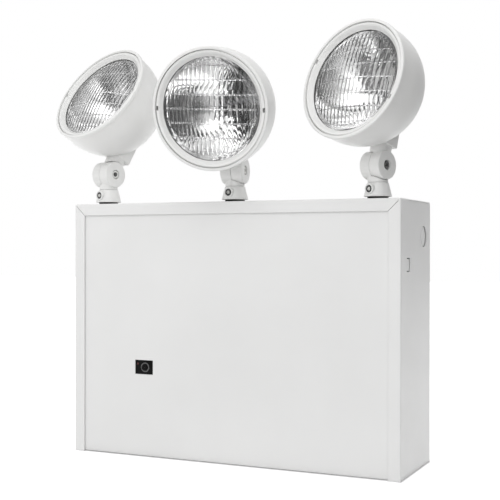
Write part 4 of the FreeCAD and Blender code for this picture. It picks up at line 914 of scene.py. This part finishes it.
def cloth(name, low, high):
    return plastic(f"{name}_cloth", grey(low), grey(high), CLOTH_ROUGH)


def sheet_of(name, corners, material):
    """A flat sheet of the studio."""
    sheet = new_object(name, corners, [(0, 1, 2, 3)])
    sheet.data.materials.append(material)
    return sheet


def stage():
    far = FLOOR_REACH
    sheet_of("floor", level(FLOOR, (-far, -far), (far, -far), (far, far), (-far, far)), white_floor())
    for name, (tone, corners) in SCREENS.items():
        screen = sheet_of(name, corners, cloth(name, *(tone * spread for spread in CLOTH_SPREAD)))
        screen.visible_camera = screen.visible_shadow = False
        screen.visible_diffuse = name in SHADING
    for name, corners in FLAGS.items():
        flag = sheet_of(name, corners, cloth(name, *FLAG_TONE))
        flag.visible_camera = flag.visible_glossy = flag.visible_transmission = False


def world():
    """White where it is seen, and soft light that is stronger from one side."""
    scene.world = bpy.data.worlds.new("studio")
    scene.world.use_nodes = True
    tree = scene.world.node_tree
    background = tree.nodes["Background"]
    direction = tree.nodes.new("ShaderNodeTexCoord").outputs["Generated"]
    towards = calculated(tree, "ShaderNodeVectorMath", "DOT_PRODUCT", direction, LIGHTER_SIDE)
    ambient = tree.nodes.new("ShaderNodeMapRange")
    ambient.inputs["From Min"].default_value, ambient.inputs["From Max"].default_value = -1.0, 1.0
    ambient.inputs["To Min"].default_value, ambient.inputs["To Max"].default_value = AMBIENT
    tree.links.new(towards.outputs["Value"], ambient.inputs["Value"])
    strength = tree.nodes.new("ShaderNodeMapRange")
    strength.inputs["To Max"].default_value = 1.0
    tree.links.new(seen_directly(tree), strength.inputs["Value"])
    tree.links.new(ambient.outputs["Result"], strength.inputs["To Min"])
    tree.links.new(strength.outputs["Result"], background.inputs["Strength"])
    background.inputs["Color"].default_value = (1, 1, 1, 1)


def area_light(name, place, target, size, power):
    data = bpy.data.lights.new(name, "AREA")
    data.shape, data.energy = "RECTANGLE", power
    data.size, data.size_y = size
    light = bpy.data.objects.new(name, data)
    light.location = place
    light.rotation_euler = (Vector(target) - Vector(place)).to_track_quat("-Z", "Y").to_euler()
    light.visible_camera = False
    scene.collection.objects.link(light)


def camera():
    data = bpy.data.cameras.new("camera")
    data.sensor_width, data.lens, data.shift_y = SENSOR, FOCAL_LENGTH, SHIFT_Y
    obj = bpy.data.objects.new("camera", data)
    obj.location = CAMERA_PLACE
    obj.rotation_euler = [math.radians(angle) for angle in CAMERA_TURN]
    scene.collection.objects.link(obj)
    scene.camera = obj


cabinet()
lock_screws()
heads()
kept_solids()
stage()
world()
for light_name, settings in LIGHTS.items():
    area_light(light_name, *settings)
camera()
